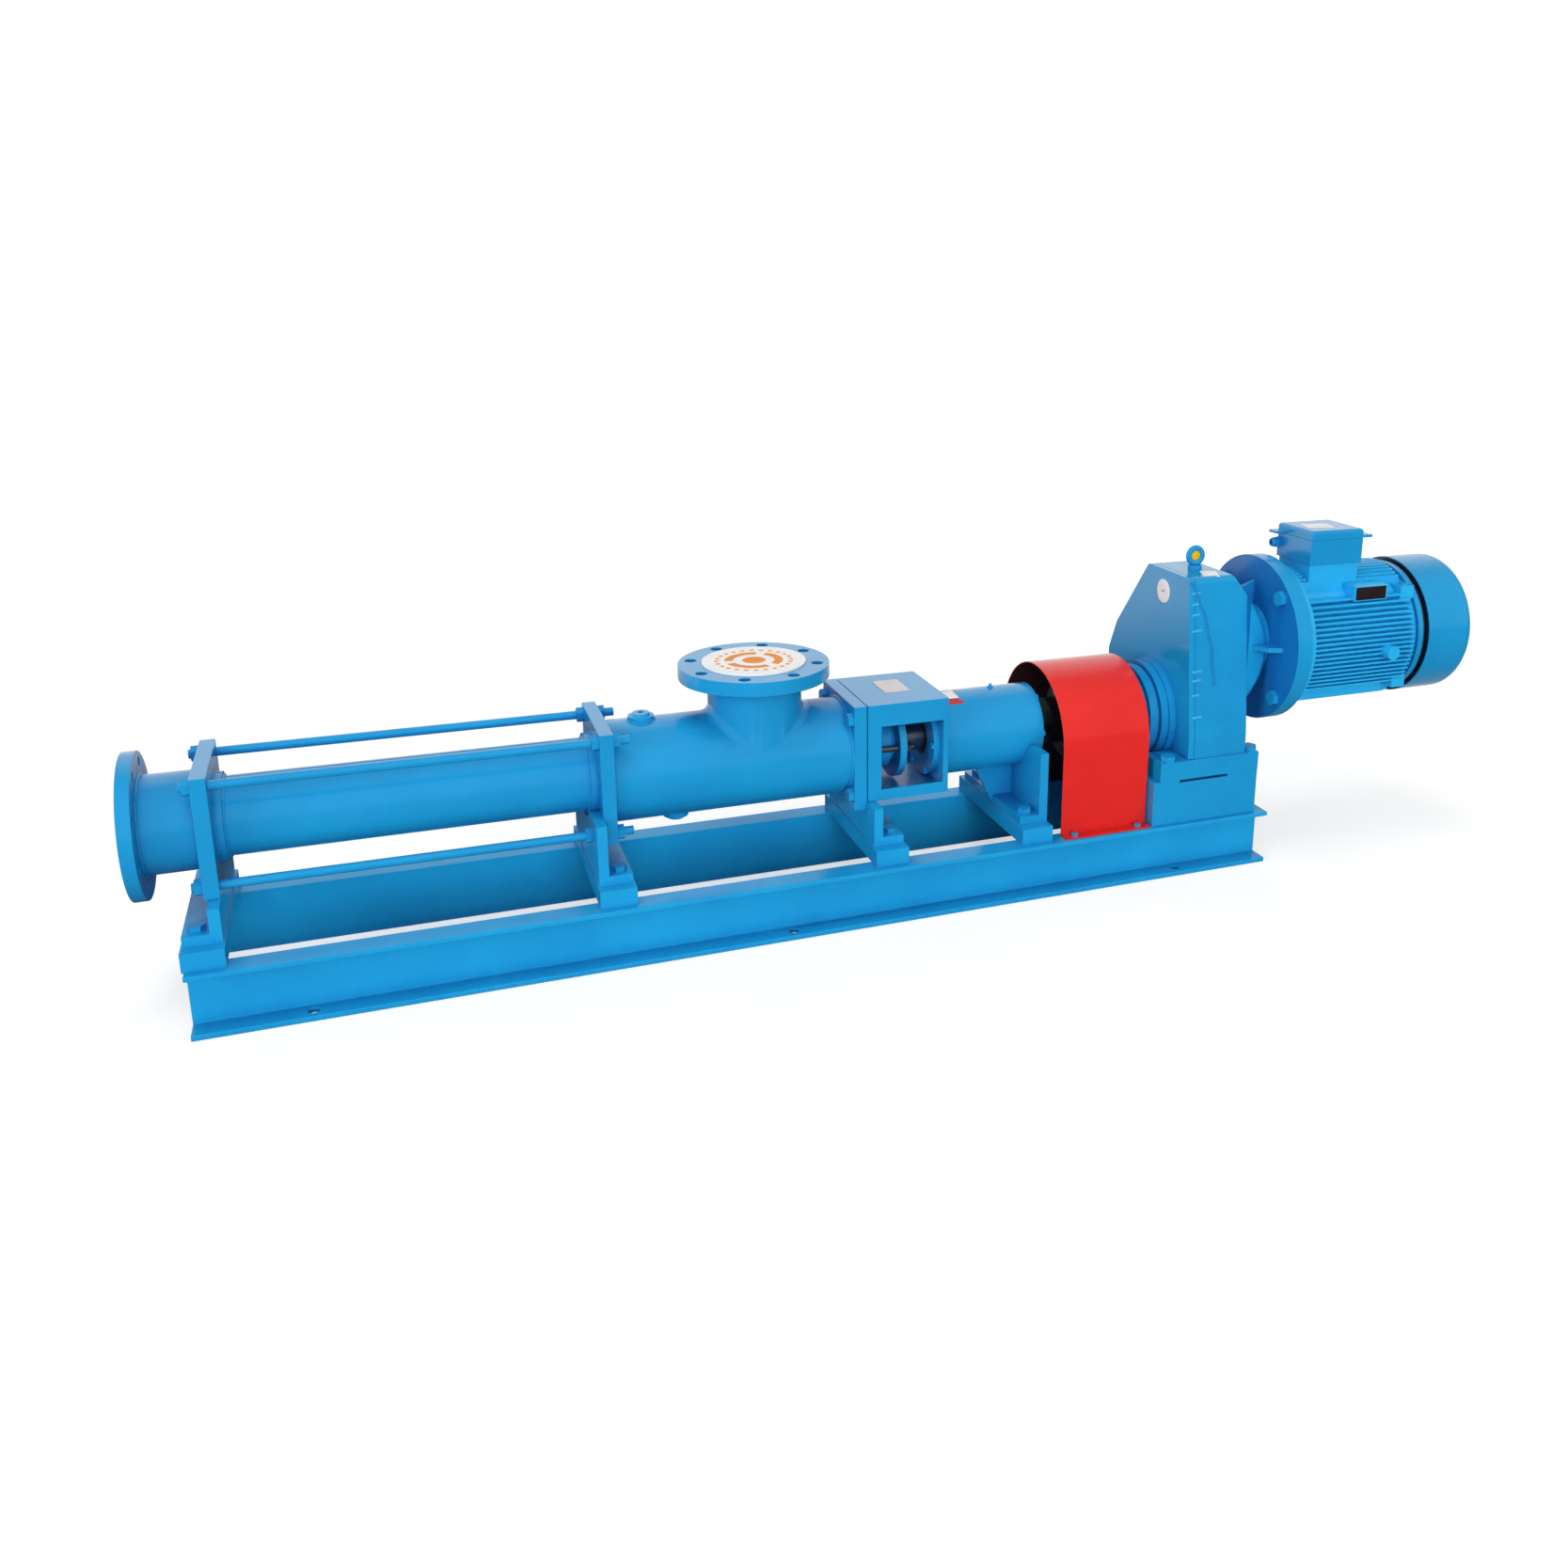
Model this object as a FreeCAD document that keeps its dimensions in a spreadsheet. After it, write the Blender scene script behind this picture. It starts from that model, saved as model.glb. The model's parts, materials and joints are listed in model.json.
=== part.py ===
import FreeCAD, Part
import math
import os

import Sketcher
from FreeCAD import Placement, Rotation, Vector

# Driving dimensions in millimetres, degrees or plain counts
DRIVING = {
    "axis_height": 313.0,
    "running_clearance": 0.4,
    "seat_clearance": 0.1,
    "bolt_clearance": 1.0,
    "bolt_tip_gap": 2.0,
    # base frame
    "anchor_pitch": 832.5,
    "anchor_edge_distance": 22.0,
    "anchor_hole_radius": 9.0,
    "rail_overhang_discharge": 182.0,
    "rail_overhang_motor": 208.0,
    "rail_outer_width": 362.0,
    "rail_depth": 114.0,
    "rail_flange_width": 48.0,
    "rail_flange_thickness": 9.0,
    "rail_web_thickness": 6.0,
    "bearer_depth": 33.0,
    "bearer_width": 66.0,
    "bearer_setback": 16.0,
    "foot_setback": 39.0,
    "foot_thickness": 18.0,
    "foot_length": 60.0,
    "foot_bolt_margin": 24.0,
    "foot_bolt_radius": 8.0,
    "middle_upright_overlap": 53.0,
    # pump casings
    "discharge_face_offset": 1086.5,
    "discharge_nozzle_length": 107.0,
    "discharge_flange_radius": 125.0,
    "discharge_flange_thickness": 22.0,
    "discharge_pitch_radius": 105.0,
    "discharge_hole_radius": 9.0,
    "discharge_bore_radius": 62.5,
    "discharge_neck_radius": 84.0,
    "flange_hole_count": 8,
    "plate_thickness": 25.0,
    "plate_size": 210.0,
    "tie_rod_offset": 87.0,
    "tie_rod_radius": 8.0,
    "tie_rod_front_end": 17.0,
    "tie_rod_rear_end": 30.0,
    "suction_position": 308.5,
    "suction_flange_radius": 142.5,
    "suction_flange_thickness": 27.0,
    "suction_pitch_radius": 120.0,
    "suction_hole_radius": 11.0,
    "suction_bore_radius": 75.0,
    "suction_neck_radius": 88.5,
    "suction_rise": 185.0,
    "port_cover_radius": 98.0,
    "port_cover_thickness": 3.0,
    "chamber_length": 451.0,
    "chamber_radius": 95.0,
    "chamber_wall": 7.0,
    "vent_position": 92.0,
    "drain_position": 150.0,
    "end_plate_drop": 15.0,
    "plug_boss_radius": 24.0,
    "plug_boss_rise": 8.0,
    "plug_thread_radius": 13.0,
    "plug_head_radius": 19.0,
    "plug_head_rise": 5.0,
    # pumping elements
    "stator_length": 620.0,
    "stator_tube_radius": 68.0,
    "stator_tube_wall": 6.0,
    "stator_collar_radius": 76.0,
    "stator_collar_width": 14.0,
    "rotor_radius": 35.0,
    "rotor_eccentricity": 9.0,
    "rotor_pitch": 250.0,
    "rotor_gap": 1.0,
    "rotor_overrun": 12.0,
    "joint_head_radius": 46.0,
    "joint_head_length": 72.0,
    "joint_pocket_radius": 30.0,
    "joint_pocket_depth": 54.0,
    "joint_pin_radius": 10.0,
    "joint_pin_play": 0.95,
    "joint_pin_recess": 2.0,
    "joint_from_plate": 75.0,
    "joint_from_bracket": 80.0,
    "joint_sleeve_width": 30.0,
    "joint_sleeve_wall": 7.0,
    "rod_end_radius": 26.0,
    "rod_end_length": 52.0,
    "rod_radius": 17.0,
    # shaft sealing
    "shaft_radius": 30.0,
    "shaft_collar_rise": 6.0,
    "shaft_step_margin": 3.0,
    "throat_length": 14.0,
    "packing_width": 12.5,
    "packing_ring_count": 5,
    "stuffing_wall": 12.5,
    "gland_reach": 12.0,
    "gland_spigot_length": 26.0,
    "gland_flange_thickness": 14.0,
    "gland_stud_offset": 62.0,
    "gland_stud_radius": 6.0,
    "gland_stud_end": 16.0,
    "gland_flange_margin": 14.0,
    # bearing bracket and housing
    "bracket_length": 169.0,
    "bracket_half_width": 99.0,
    "bracket_top": 104.5,
    "bracket_bottom": 89.5,
    "bracket_front_wall": 30.0,
    "bracket_rear_wall": 11.0,
    "bracket_shell": 8.0,
    "bracket_seam_width": 2.0,
    "bracket_seam_depth": 5.0,
    "window_top": 60.0,
    "window_bottom": 68.0,
    "bracket_bolt_offset": 84.0,
    "bracket_bolt_drop": 76.0,
    "bracket_bolt_radius": 8.0,
    "nameplate_length": 52.0,
    "nameplate_width": 80.0,
    "nameplate_thickness": 1.0,
    "nameplate_from_bracket": 62.0,
    "nameplate_front": 28.0,
    "housing_length": 203.0,
    "housing_radius": 84.0,
    "housing_leg_thickness": 12.0,
    "housing_leg_setback": 4.0,
    "housing_leg_overlap": 20.0,
    "housing_rib_reach": 42.0,
    "housing_rib_overlap": 8.0,
    "cover_thickness": 12.0,
    "cover_radius_front": 80.0,
    "cover_spigot_wall": 6.0,
    "cover_spigot_ring": 10.0,
    "cover_screw_count": 6,
    "cover_screw_radius": 4.0,
    "cover_screw_depth": 16.0,
    "pump_bearing_radius": 65.0,
    "pump_bearing_width": 31.0,
    "pump_ball_count": 8,
    "seal_width": 8.0,
    "seal_wall": 9.0,
    # coupling and guard
    "guard_gap": 15.0,
    "guard_length": 195.0,
    "guard_rail_margin": 9.0,
    "guard_thickness": 2.5,
    "guard_lip": 25.0,
    "guard_axis_drop": 22.0,
    "guard_bolt_margin": 25.0,
    "guard_to_boss": 8.0,
    "coupling_flange_radius": 82.0,
    "coupling_flange_thickness": 26.0,
    "coupling_hub_radius": 48.0,
    "coupling_hub_length": 46.0,
    "coupling_gap": 4.0,
    "coupling_bore_radius": 27.5,
    "coupling_pin_count": 6,
    "coupling_pin_radius": 8.0,
    "coupling_pin_circle": 60.0,
    "coupling_pin_head_rise": 3.0,
    "coupling_pin_head_length": 6.0,
    "coupling_pin_end": 4.0,
    "coupling_bush_wall": 6.0,
    # gear unit
    "gear_module": 4.0,
    "pinion_teeth": 25,
    "wheel_teeth": 63,
    "motor_offset": 71.0,
    "gear_width": 60.0,
    "gear_backlash": 0.3,
    "pressure_angle": 20.0,
    "root_depth_factor": 1.25,
    "wheel_seat_step": 2.0,
    "wheel_shoulder_step": 6.0,
    "wheel_web_recess": 18.0,
    "wheel_rim_wall": 14.0,
    "wheel_hub_wall": 20.0,
    "output_seat_lead": 4.0,
    "output_shoulder_gap": 3.0,
    "output_end_setback": 1.0,
    "gear_wall": 12.0,
    "gear_front_wall": 14.0,
    "gear_depth": 138.0,
    "gear_crown": 312.0,
    "gear_top_front": 130.0,
    "gear_top_rear": 35.0,
    "gear_rear_bulge": 190.0,
    "gear_foot_thickness": 40.0,
    "gear_foot_overhang": 32.0,
    "gear_foot_reach": 66.0,
    "gear_shoulder_length": 32.0,
    "gear_shoulder_drop": 45.0,
    "gear_belt_height": 90.0,
    "gear_shelf_depth": 20.0,
    "gear_front_spread": 36.0,
    "gear_slope_setback": 30.0,
    "gear_belly_depth": 46.0,
    "gear_belly_gap": 9.0,
    "gear_wheel_room": 6.0,
    "gear_edge_round": 14.0,
    "gear_axis_rise": 103.0,
    "pedestal_lead": 14.0,
    "pedestal_setback": 10.0,
    "pedestal_slot_start": 61.0,
    "pedestal_slot_length": 116.0,
    "pedestal_slot_depth": 6.0,
    "pedestal_hole_depth": 56.0,
    "pedestal_wall": 30.0,
    "boss_length": 75.0,
    "boss_radius": 112.0,
    "nose_tip_length": 10.5,
    "nose_tip_setback": 30.0,
    "nose_collar_length": 6.0,
    "nose_collar_setback": 20.0,
    "nose_ring_length": 18.0,
    "nose_ring_setback": 12.0,
    "nose_shoulder_length": 16.5,
    "nose_shoulder_setback": 5.0,
    "nose_groove_width": 4.5,
    "nose_groove_depth": 4.0,
    "output_bearing_radius": 55.0,
    "output_bearing_width": 22.0,
    "output_spigot_wall": 4.0,
    "output_front_bearing_lead": 46.0,
    "output_rear_bearing_gap": 6.0,
    "pinion_end_gap": 0.5,
    "pinion_tail_reach": 44.4,
    "pinion_socket_gap": 2.0,
    "pinion_front_bore": 20.0,
    "pinion_front_bearing_radius": 40.0,
    "pinion_front_bearing_width": 18.0,
    "pinion_rear_bore": 35.0,
    "pinion_rear_bearing_radius": 62.5,
    "pinion_rear_bearing_width": 24.0,
    "gear_bolt_radius": 9.0,
    "gear_bolt_reach": 36.0,
    "gear_bolt_front_margin": 24.0,
    "gear_bolt_rear_margin": 15.0,
    "bearing_seat_wall": 10.0,
    "gear_hub_gap": 4.0,
    "nose_clearance": 3.0,
    "eyebolt_ring_radius": 16.0,
    "eyebolt_wire_radius": 6.0,
    "eyebolt_neck": 10.0,
    "eyebolt_collar_radius": 14.4,
    "eyebolt_from_casing_start": 60.7,
    "eyebolt_from_top_rear": 85.0,
    # motor
    "adapter_length": 74.0,
    "adapter_disc_thickness": 18.0,
    "adapter_bulge_radius": 145.0,
    "adapter_bulge_reach": 50.0,
    "adapter_bulge_drop": 10.0,
    "adapter_bulge_front": 81.0,
    "adapter_bulge_rear": 150.0,
    "adapter_bulge_round": 14.0,
    "adapter_neck_wall": 12.0,
    "adapter_rib_thickness": 10.0,
    "adapter_rib_rise": 50.0,
    "adapter_rib_drop": 12.0,
    "adapter_rib_start": 28.0,
    "adapter_bore_step": 6.0,
    "motor_spigot_length": 5.0,
    "motor_spigot_gap": 1.0,
    "motor_flange_radius": 175.0,
    "motor_pitch_radius": 150.0,
    "motor_spigot_radius": 125.0,
    "motor_bolt_radius": 9.0,
    "motor_bolt_count": 4,
    "motor_bolt_angle": 45.0,
    "shield_thickness": 17.0,
    "motor_frame_length": 296.0,
    "motor_frame_radius": 132.0,
    "motor_frame_wall": 10.0,
    "frame_rim_radius": 160.0,
    "frame_rim_width": 20.0,
    "fin_radius": 148.0,
    "fin_thickness": 4.0,
    "fin_spacing": 10.5,
    "fin_front_gap": 25.0,
    "fin_rear_gap": 14.0,
    "side_fin_rows": 9,
    "top_fin_rows": 7,
    "frame_lug_length": 34.0,
    "frame_lug_low": 84.0,
    "frame_lug_high": 112.0,
    "frame_boss_radius": 15.0,
    "frame_boss_reach": 168.0,
    "frame_boss_from_end": 83.0,
    "frame_boss_drop": 16.0,
    "saddle_low": 90.0,
    "saddle_rise": 16.0,
    "saddle_setback": 6.0,
    "saddle_end_setback": 4.0,
    "core_start_gap": 62.0,
    "core_length": 160.0,
    "winding_reach": 32.0,
    "winding_gap": 6.0,
    "winding_inner_gap": 8.0,
    "end_ring_length": 14.0,
    "end_ring_step": 6.0,
    "core_inner_radius": 78.0,
    "air_gap": 0.6,
    "motor_shaft_radius": 21.0,
    "motor_shaft_engagement": 18.0,
    "motor_shaft_shoulder": 8.0,
    "motor_seat_gap": 1.0,
    "motor_seat_lead": 2.0,
    "motor_shaft_end": 46.0,
    "shield_hub_wall": 12.0,
    "shield_shaft_gap": 4.0,
    "rear_shield_overlap": 10.0,
    "rear_shield_shaft_gap": 2.0,
    "rear_groove_radius": 128.0,
    "rear_rim_length": 10.0,
    "rear_rim_wall": 8.0,
    "motor_bearing_bore": 22.5,
    "motor_bearing_radius": 50.0,
    "motor_bearing_width": 25.0,
    "fan_radius": 120.0,
    "fan_start_gap": 14.0,
    "fan_disc_thickness": 3.0,
    "fan_hub_wall": 10.0,
    "fan_hub_length": 42.0,
    "fan_blade_length": 38.0,
    "fan_blade_thickness": 3.0,
    "fan_blade_overlap": 4.0,
    "fan_blade_count": 7,
    "fan_cover_radius": 149.0,
    "fan_cover_length": 125.0,
    "fan_cover_gap": 6.0,
    "fan_cover_wall": 2.0,
    "fan_cover_round": 26.0,
    "air_hole_radius": 7.0,
    "air_hole_rows": 4,
    "air_hole_first_circle": 34.0,
    "air_hole_row_pitch": 24.0,
    "air_hole_first_count": 8,
    "air_hole_added_count": 6,
    "terminal_box_length": 130.0,
    "terminal_box_width": 120.0,
    "terminal_box_shift": 21.0,
    "terminal_box_height": 52.0,
    "terminal_box_position": 46.0,
    "terminal_box_wall": 5.0,
    "terminal_lid_thickness": 20.0,
    "terminal_lid_round": 7.0,
    "terminal_ear_length": 24.0,
    "terminal_ear_width": 26.0,
    "terminal_ear_thickness": 6.0,
    "motor_plate_from_end": 158.0,
    "motor_plate_pad_length": 82.0,
    "motor_plate_pad_low": 89.0,
    "motor_plate_pad_high": 121.0,
    "motor_plate_pad_reach": 118.0,
    "motor_plate_pad_depth": 40.0,
    "motor_plate_length": 76.0,
    "motor_plate_height": 27.0,
}


class Size:
    """A number that also knows the spreadsheet expression it comes from."""

    def __init__(self, value, text):
        self.value = float(value)
        self.text = text

    def __float__(self):
        return self.value

    def __add__(self, other):
        other = as_size(other)
        return Size(self.value + other.value, f"({self.text} + {other.text})")

    def __radd__(self, other):
        return as_size(other) + self

    def __sub__(self, other):
        other = as_size(other)
        return Size(self.value - other.value, f"({self.text} - {other.text})")

    def __rsub__(self, other):
        return as_size(other) - self

    def __mul__(self, other):
        other = as_size(other)
        return Size(self.value * other.value, f"({self.text} * {other.text})")

    def __rmul__(self, other):
        return as_size(other) * self

    def __truediv__(self, other):
        other = as_size(other)
        return Size(self.value / other.value, f"({self.text} / {other.text})")

    def __neg__(self):
        return Size(-self.value, f"(-{self.text})")


def as_size(number):
    """Give a plain number the same form as a named size."""
    if isinstance(number, Size):
        return number
    return Size(number, f"({float(number)!r})")


def root(size):
    """Square root of a size."""
    return Size(math.sqrt(size.value), f"sqrt({size.text})")


def cosine(angle):
    """Cosine of an angle in degrees."""
    angle = as_size(angle)
    return Size(math.cos(math.radians(angle.value)), f"cos({angle.text})")


def sine(angle):
    """Sine of an angle in degrees."""
    angle = as_size(angle)
    return Size(math.sin(math.radians(angle.value)), f"sin({angle.text})")


class NamedSizes:
    """Every cell of the sheet as an attribute."""


doc = FreeCAD.newDocument("progressive_cavity_pump")
sheet = doc.addObject("Spreadsheet::Sheet", "Sizes")
sizes = NamedSizes()
for row, (alias, number) in enumerate(DRIVING.items(), start=1):
    sheet.set(f"A{row}", alias)
    sheet.set(f"B{row}", str(number))
    sheet.setAlias(f"B{row}", alias)
    setattr(sizes, alias, Size(number, f"Sizes.{alias}"))
doc.recompute()

SUB_PARTS = []
HIDDEN_OVERLAP = 4
FLANK_STEPS = 4
GUIDE_RADIUS = 100
PLANE_ROLES = {"XY": "XY_Plane", "XZ": "XZ_Plane", "YZ": "YZ_Plane"}
AXIS_TURNS = {
    "+X": Rotation(Vector(0, 1, 0), 90),
    "-X": Rotation(Vector(0, 1, 0), -90),
    "+Y": Rotation(Vector(1, 0, 0), -90),
    "-Y": Rotation(Vector(1, 0, 0), 90),
    "+Z": Rotation(),
    "-Z": Rotation(Vector(1, 0, 0), 180),
}


# Document helpers

def bind(thing, name, size):
    """Set a property from a size and tie it to the sheet."""
    size = as_size(size)
    if "Sizes." in size.text:
        thing.setExpression(name, size.text)


def place(thing, position, rotation=None):
    """Put an object at a position whose coordinates are sizes."""
    corner = [as_size(value) for value in position]
    base = Vector(*[value.value for value in corner])
    thing.Placement = Placement(base, rotation or Rotation())
    for letter, value in zip("xyz", corner):
        bind(thing, f"Placement.Base.{letter}", value)


def sub_part(thing, label):
    """Register a finished object as a sub-part under its own name."""
    thing.Label = label
    SUB_PARTS.append(thing)
    return thing


def loose_body(label, position):
    """Start a body whose local origin stands at the position."""
    body = doc.addObject("PartDesign::Body", label)
    place(body, position)
    return body


def new_body(label, position):
    """Start a body that is a sub-part by itself."""
    return sub_part(loose_body(label, position), label)


def origin_feature(body, role):
    """One of the body's own planes or axes."""
    return next(item for item in body.Origin.OriginFeatures if item.Role == role)


def new_sketch(body, plane, start, centre=(0, 0)):
    """A sketch on a plane of the body, shifted to a centre and a start along its normal."""
    sketch = body.newObject("Sketcher::SketchObject", "sketch")
    sketch.AttachmentSupport = (origin_feature(body, PLANE_ROLES[plane]), [""])
    sketch.MapMode = "FlatFace"
    along = -as_size(start) if plane == "XZ" else as_size(start)
    offset = [as_size(centre[0]), as_size(centre[1]), along]
    sketch.AttachmentOffset = Placement(Vector(*[item.value for item in offset]), Rotation())
    for letter, value in zip("xyz", offset):
        bind(sketch, f"AttachmentOffset.Base.{letter}", value)
    return sketch


def constrain_point(sketch, edge, point, across, up):
    """Tie a point of the sketch to two sizes measured from the sketch origin."""
    for kind, size in (("DistanceX", as_size(across)), ("DistanceY", as_size(up))):
        index = sketch.addConstraint(Sketcher.Constraint(kind, -1, 1, edge, point, size.value))
        bind(sketch, f"Constraints[{index}]", size)


def draw_outline(sketch, corners):
    """Draw a closed outline through corners given as pairs of sizes."""
    points = [Vector(float(as_size(a)), float(as_size(b)), 0) for a, b in corners]
    first = sketch.GeometryCount
    count = len(points)
    for index in range(count):
        line = Part.LineSegment(points[index], points[(index + 1) % count])
        sketch.addGeometry(line, False)
    for index in range(count):
        following = first + (index + 1) % count
        joined = Sketcher.Constraint("Coincident", first + index, 2, following, 1)
        sketch.addConstraint(joined)
    for index, (across, up) in enumerate(corners):
        constrain_point(sketch, first + index, 1, across, up)


def draw_circle(sketch, centre, radius):
    """Draw a circle whose centre and radius are sizes."""
    across, up = as_size(centre[0]), as_size(centre[1])
    middle = Vector(across.value, up.value, 0)
    radius = as_size(radius)
    edge = sketch.addGeometry(Part.Circle(middle, Vector(0, 0, 1), radius.value), False)
    index = sketch.addConstraint(Sketcher.Constraint("Radius", edge, radius.value))
    bind(sketch, f"Constraints[{index}]", radius)
    constrain_point(sketch, edge, 3, across, up)


def pad(body, sketch, plane, length):
    """Add material from the sketch towards the positive side of its plane."""
    feature = body.newObject("PartDesign::Pad", "pad")
    feature.Profile = sketch
    feature.Length = as_size(length).value
    bind(feature, "Length", length)
    feature.Reversed = plane == "XZ"
    return feature


def pocket(body, sketch, plane, length):
    """Remove material from the sketch towards the positive side of its plane."""
    feature = body.newObject("PartDesign::Pocket", "pocket")
    feature.Profile = sketch
    feature.Length = as_size(length).value
    bind(feature, "Length", length)
    feature.Reversed = plane != "XZ"
    return feature


def add_block(body, plane, corners, start, length):
    """Pad an outline."""
    sketch = new_sketch(body, plane, start)
    draw_outline(sketch, corners)
    return pad(body, sketch, plane, length)


def cut_block(body, plane, corners, start, length):
    """Pocket an outline."""
    sketch = new_sketch(body, plane, start)
    draw_outline(sketch, corners)
    return pocket(body, sketch, plane, length)


def add_disc(body, plane, centre, radius, start, length):
    """Pad a circle."""
    sketch = new_sketch(body, plane, start)
    draw_circle(sketch, centre, radius)
    return pad(body, sketch, plane, length)


def cut_discs(body, plane, centres, radius, start, length):
    """Pocket one or more equal circles."""
    sketch = new_sketch(body, plane, start)
    for centre in centres:
        draw_circle(sketch, centre, radius)
    return pocket(body, sketch, plane, length)


def cut_hole_circle(body, plane, centre, pitch_radius, radius, count, first_angle, start, length):
    """Pocket one hole and repeat it around a pitch circle."""
    sketch = new_sketch(body, plane, start, centre)
    hole_place = (pitch_radius * cosine(first_angle), pitch_radius * sine(first_angle))
    draw_circle(sketch, hole_place, radius)
    hole = pocket(body, sketch, plane, length)
    repeat_around(body, hole, sketch, count)


def repeat_around(body, feature, sketch, count):
    """Repeat a feature around the normal axis of its sketch."""
    pattern = body.newObject("PartDesign::PolarPattern", "pattern")
    pattern.Originals = [feature]
    pattern.Axis = (sketch, ["N_Axis"])
    pattern.Angle = 360
    pattern.Occurrences = int(float(count))
    bind(pattern, "Occurrences", count)
    body.Tip = pattern


def turn(body, profile):
    """Revolve an outline of stations and radii around the body's X axis."""
    sketch = new_sketch(body, "XZ", 0)
    draw_outline(sketch, profile)
    feature = body.newObject("PartDesign::Revolution", "revolution")
    feature.Profile = sketch
    feature.ReferenceAxis = (origin_feature(body, "X_Axis"), [""])
    feature.Angle = 360
    return feature


def steps(*stretches, inner=0):
    """Outline of a stepped shaft from (end station, radius) pairs, first station leading."""
    start = stretches[0]
    corners = [(start, inner)]
    station = start
    for end, radius in stretches[1:]:
        corners.append((station, radius))
        corners.append((end, radius))
        station = end
    corners.append((station, inner))
    return corners


def rectangle(low_a, high_a, low_b, high_b):
    """Corners of a rectangle."""
    return [(low_a, low_b), (high_a, low_b), (high_a, high_b), (low_a, high_b)]


def round_edges(body, radius, wanted):
    """Fillet the edges of the body that a test accepts."""
    doc.recompute()
    base = body.Tip
    names = [f"Edge{number}" for number, edge in enumerate(base.Shape.Edges, start=1) if wanted(edge)]
    feature = body.newObject("PartDesign::Fillet", "fillet")
    feature.Base = (base, names)
    feature.Radius = as_size(radius).value
    bind(feature, "Radius", radius)
    return feature


def runs_along_x(edge):
    """True for a straight edge parallel to X."""
    if not isinstance(edge.Curve, Part.Line):
        return False
    return abs(edge.Curve.Direction.x) > 0.999


# Primitive helpers for groups of like pieces

def cylinder(radius, length, position=(0, 0, 0), rotation=None):
    """A bound cylinder standing on its position."""
    shape = doc.addObject("Part::Cylinder", "cylinder")
    shape.Radius = as_size(radius).value
    shape.Height = as_size(length).value
    bind(shape, "Radius", radius)
    bind(shape, "Height", length)
    place(shape, position, rotation)
    return shape


def cone(low_radius, high_radius, length):
    """A bound cone frustum standing on the XY plane."""
    shape = doc.addObject("Part::Cone", "cone")
    for name, size in (("Radius1", low_radius), ("Radius2", high_radius), ("Height", length)):
        setattr(shape, name, as_size(size).value)
        bind(shape, name, size)
    return shape


def block(length, width, depth, position):
    """A bound box from its lowest corner."""
    shape = doc.addObject("Part::Box", "box")
    for name, size in (("Length", length), ("Width", width), ("Height", depth)):
        setattr(shape, name, as_size(size).value)
        bind(shape, name, size)
    place(shape, position)
    return shape


def hexagon(radius, length, position=(0, 0, 0)):
    """A hexagonal prism of a given corner radius."""
    shape = doc.addObject("Part::Prism", "prism")
    shape.Polygon = 6
    shape.Circumradius = as_size(radius).value
    shape.Height = as_size(length).value
    bind(shape, "Circumradius", radius)
    bind(shape, "Height", length)
    place(shape, position)
    return shape


def torus(large_radius, small_radius, position=(0, 0, 0), rotation=None):
    """A bound ring."""
    shape = doc.addObject("Part::Torus", "torus")
    shape.Radius1 = as_size(large_radius).value
    shape.Radius2 = as_size(small_radius).value
    bind(shape, "Radius1", large_radius)
    bind(shape, "Radius2", small_radius)
    place(shape, position, rotation)
    return shape


def cut(base, tool):
    """Base without tool."""
    shape = doc.addObject("Part::Cut", "cut")
    shape.Base = base
    shape.Tool = tool
    return shape


def fuse(first, second):
    """Both pieces as one."""
    shape = doc.addObject("Part::Fuse", "fuse")
    shape.Base = first
    shape.Tool = second
    return shape


def ring(outer_radius, inner_radius, length):
    """A plain ring standing on the XY plane."""
    return cut(cylinder(outer_radius, length), cylinder(inner_radius, length))


def copy_at(template, position, direction="+Z"):
    """A linked copy of a template, its own +Z pointing along the direction."""
    link = doc.addObject("App::Link", "copy")
    link.LinkedObject = template
    place(link, position, AXIS_TURNS[direction])
    return link


def group(label, copies):
    """One sub-part made of several like solids."""
    compound = doc.addObject("Part::Compound", label)
    compound.Links = copies
    return sub_part(compound, label)


def hex_bolt(radius, reach):
    """A bolt whose head rests on the XY plane and whose shank hangs below it."""
    head = hexagon(radius * 1.8, radius * 1.3)
    shank = cylinder(radius, reach + radius * 0.2, (0, 0, -reach))
    return fuse(head, shank)


def hex_nut(radius):
    """A nut that rests on the XY plane."""
    return cut(hexagon(radius * 1.8, radius * 1.6), cylinder(radius + sizes.seat_clearance, radius * 1.6))


# Stations along X, measured from the middle of the anchor holes
discharge_face = -sizes.discharge_face_offset
plate_start = discharge_face + sizes.discharge_nozzle_length
stator_start = plate_start + sizes.plate_thickness
suction_start = stator_start + sizes.stator_length
chamber_start = suction_start + sizes.plate_thickness
chamber_end = chamber_start + sizes.chamber_length
bracket_start = chamber_end + sizes.plate_thickness
bracket_end = bracket_start + sizes.bracket_length
housing_end = bracket_end + sizes.housing_length
guard_start = housing_end + sizes.cover_thickness + sizes.guard_gap
guard_end = guard_start + sizes.guard_length
boss_start = guard_end + sizes.guard_to_boss
casing_start = boss_start + sizes.boss_length
casing_end = casing_start + sizes.gear_depth
adapter_face = casing_end + sizes.adapter_length
motor_start = adapter_face + sizes.shield_thickness
motor_end = motor_start + sizes.motor_frame_length
fan_cover_start = motor_end + sizes.shield_thickness + sizes.fan_cover_gap
rotor_joint = chamber_start + sizes.joint_from_plate
drive_joint = chamber_end - sizes.joint_from_bracket + sizes.plate_thickness
rail_start = -sizes.anchor_pitch - sizes.rail_overhang_discharge
rail_end = sizes.anchor_pitch + sizes.rail_overhang_motor

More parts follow.
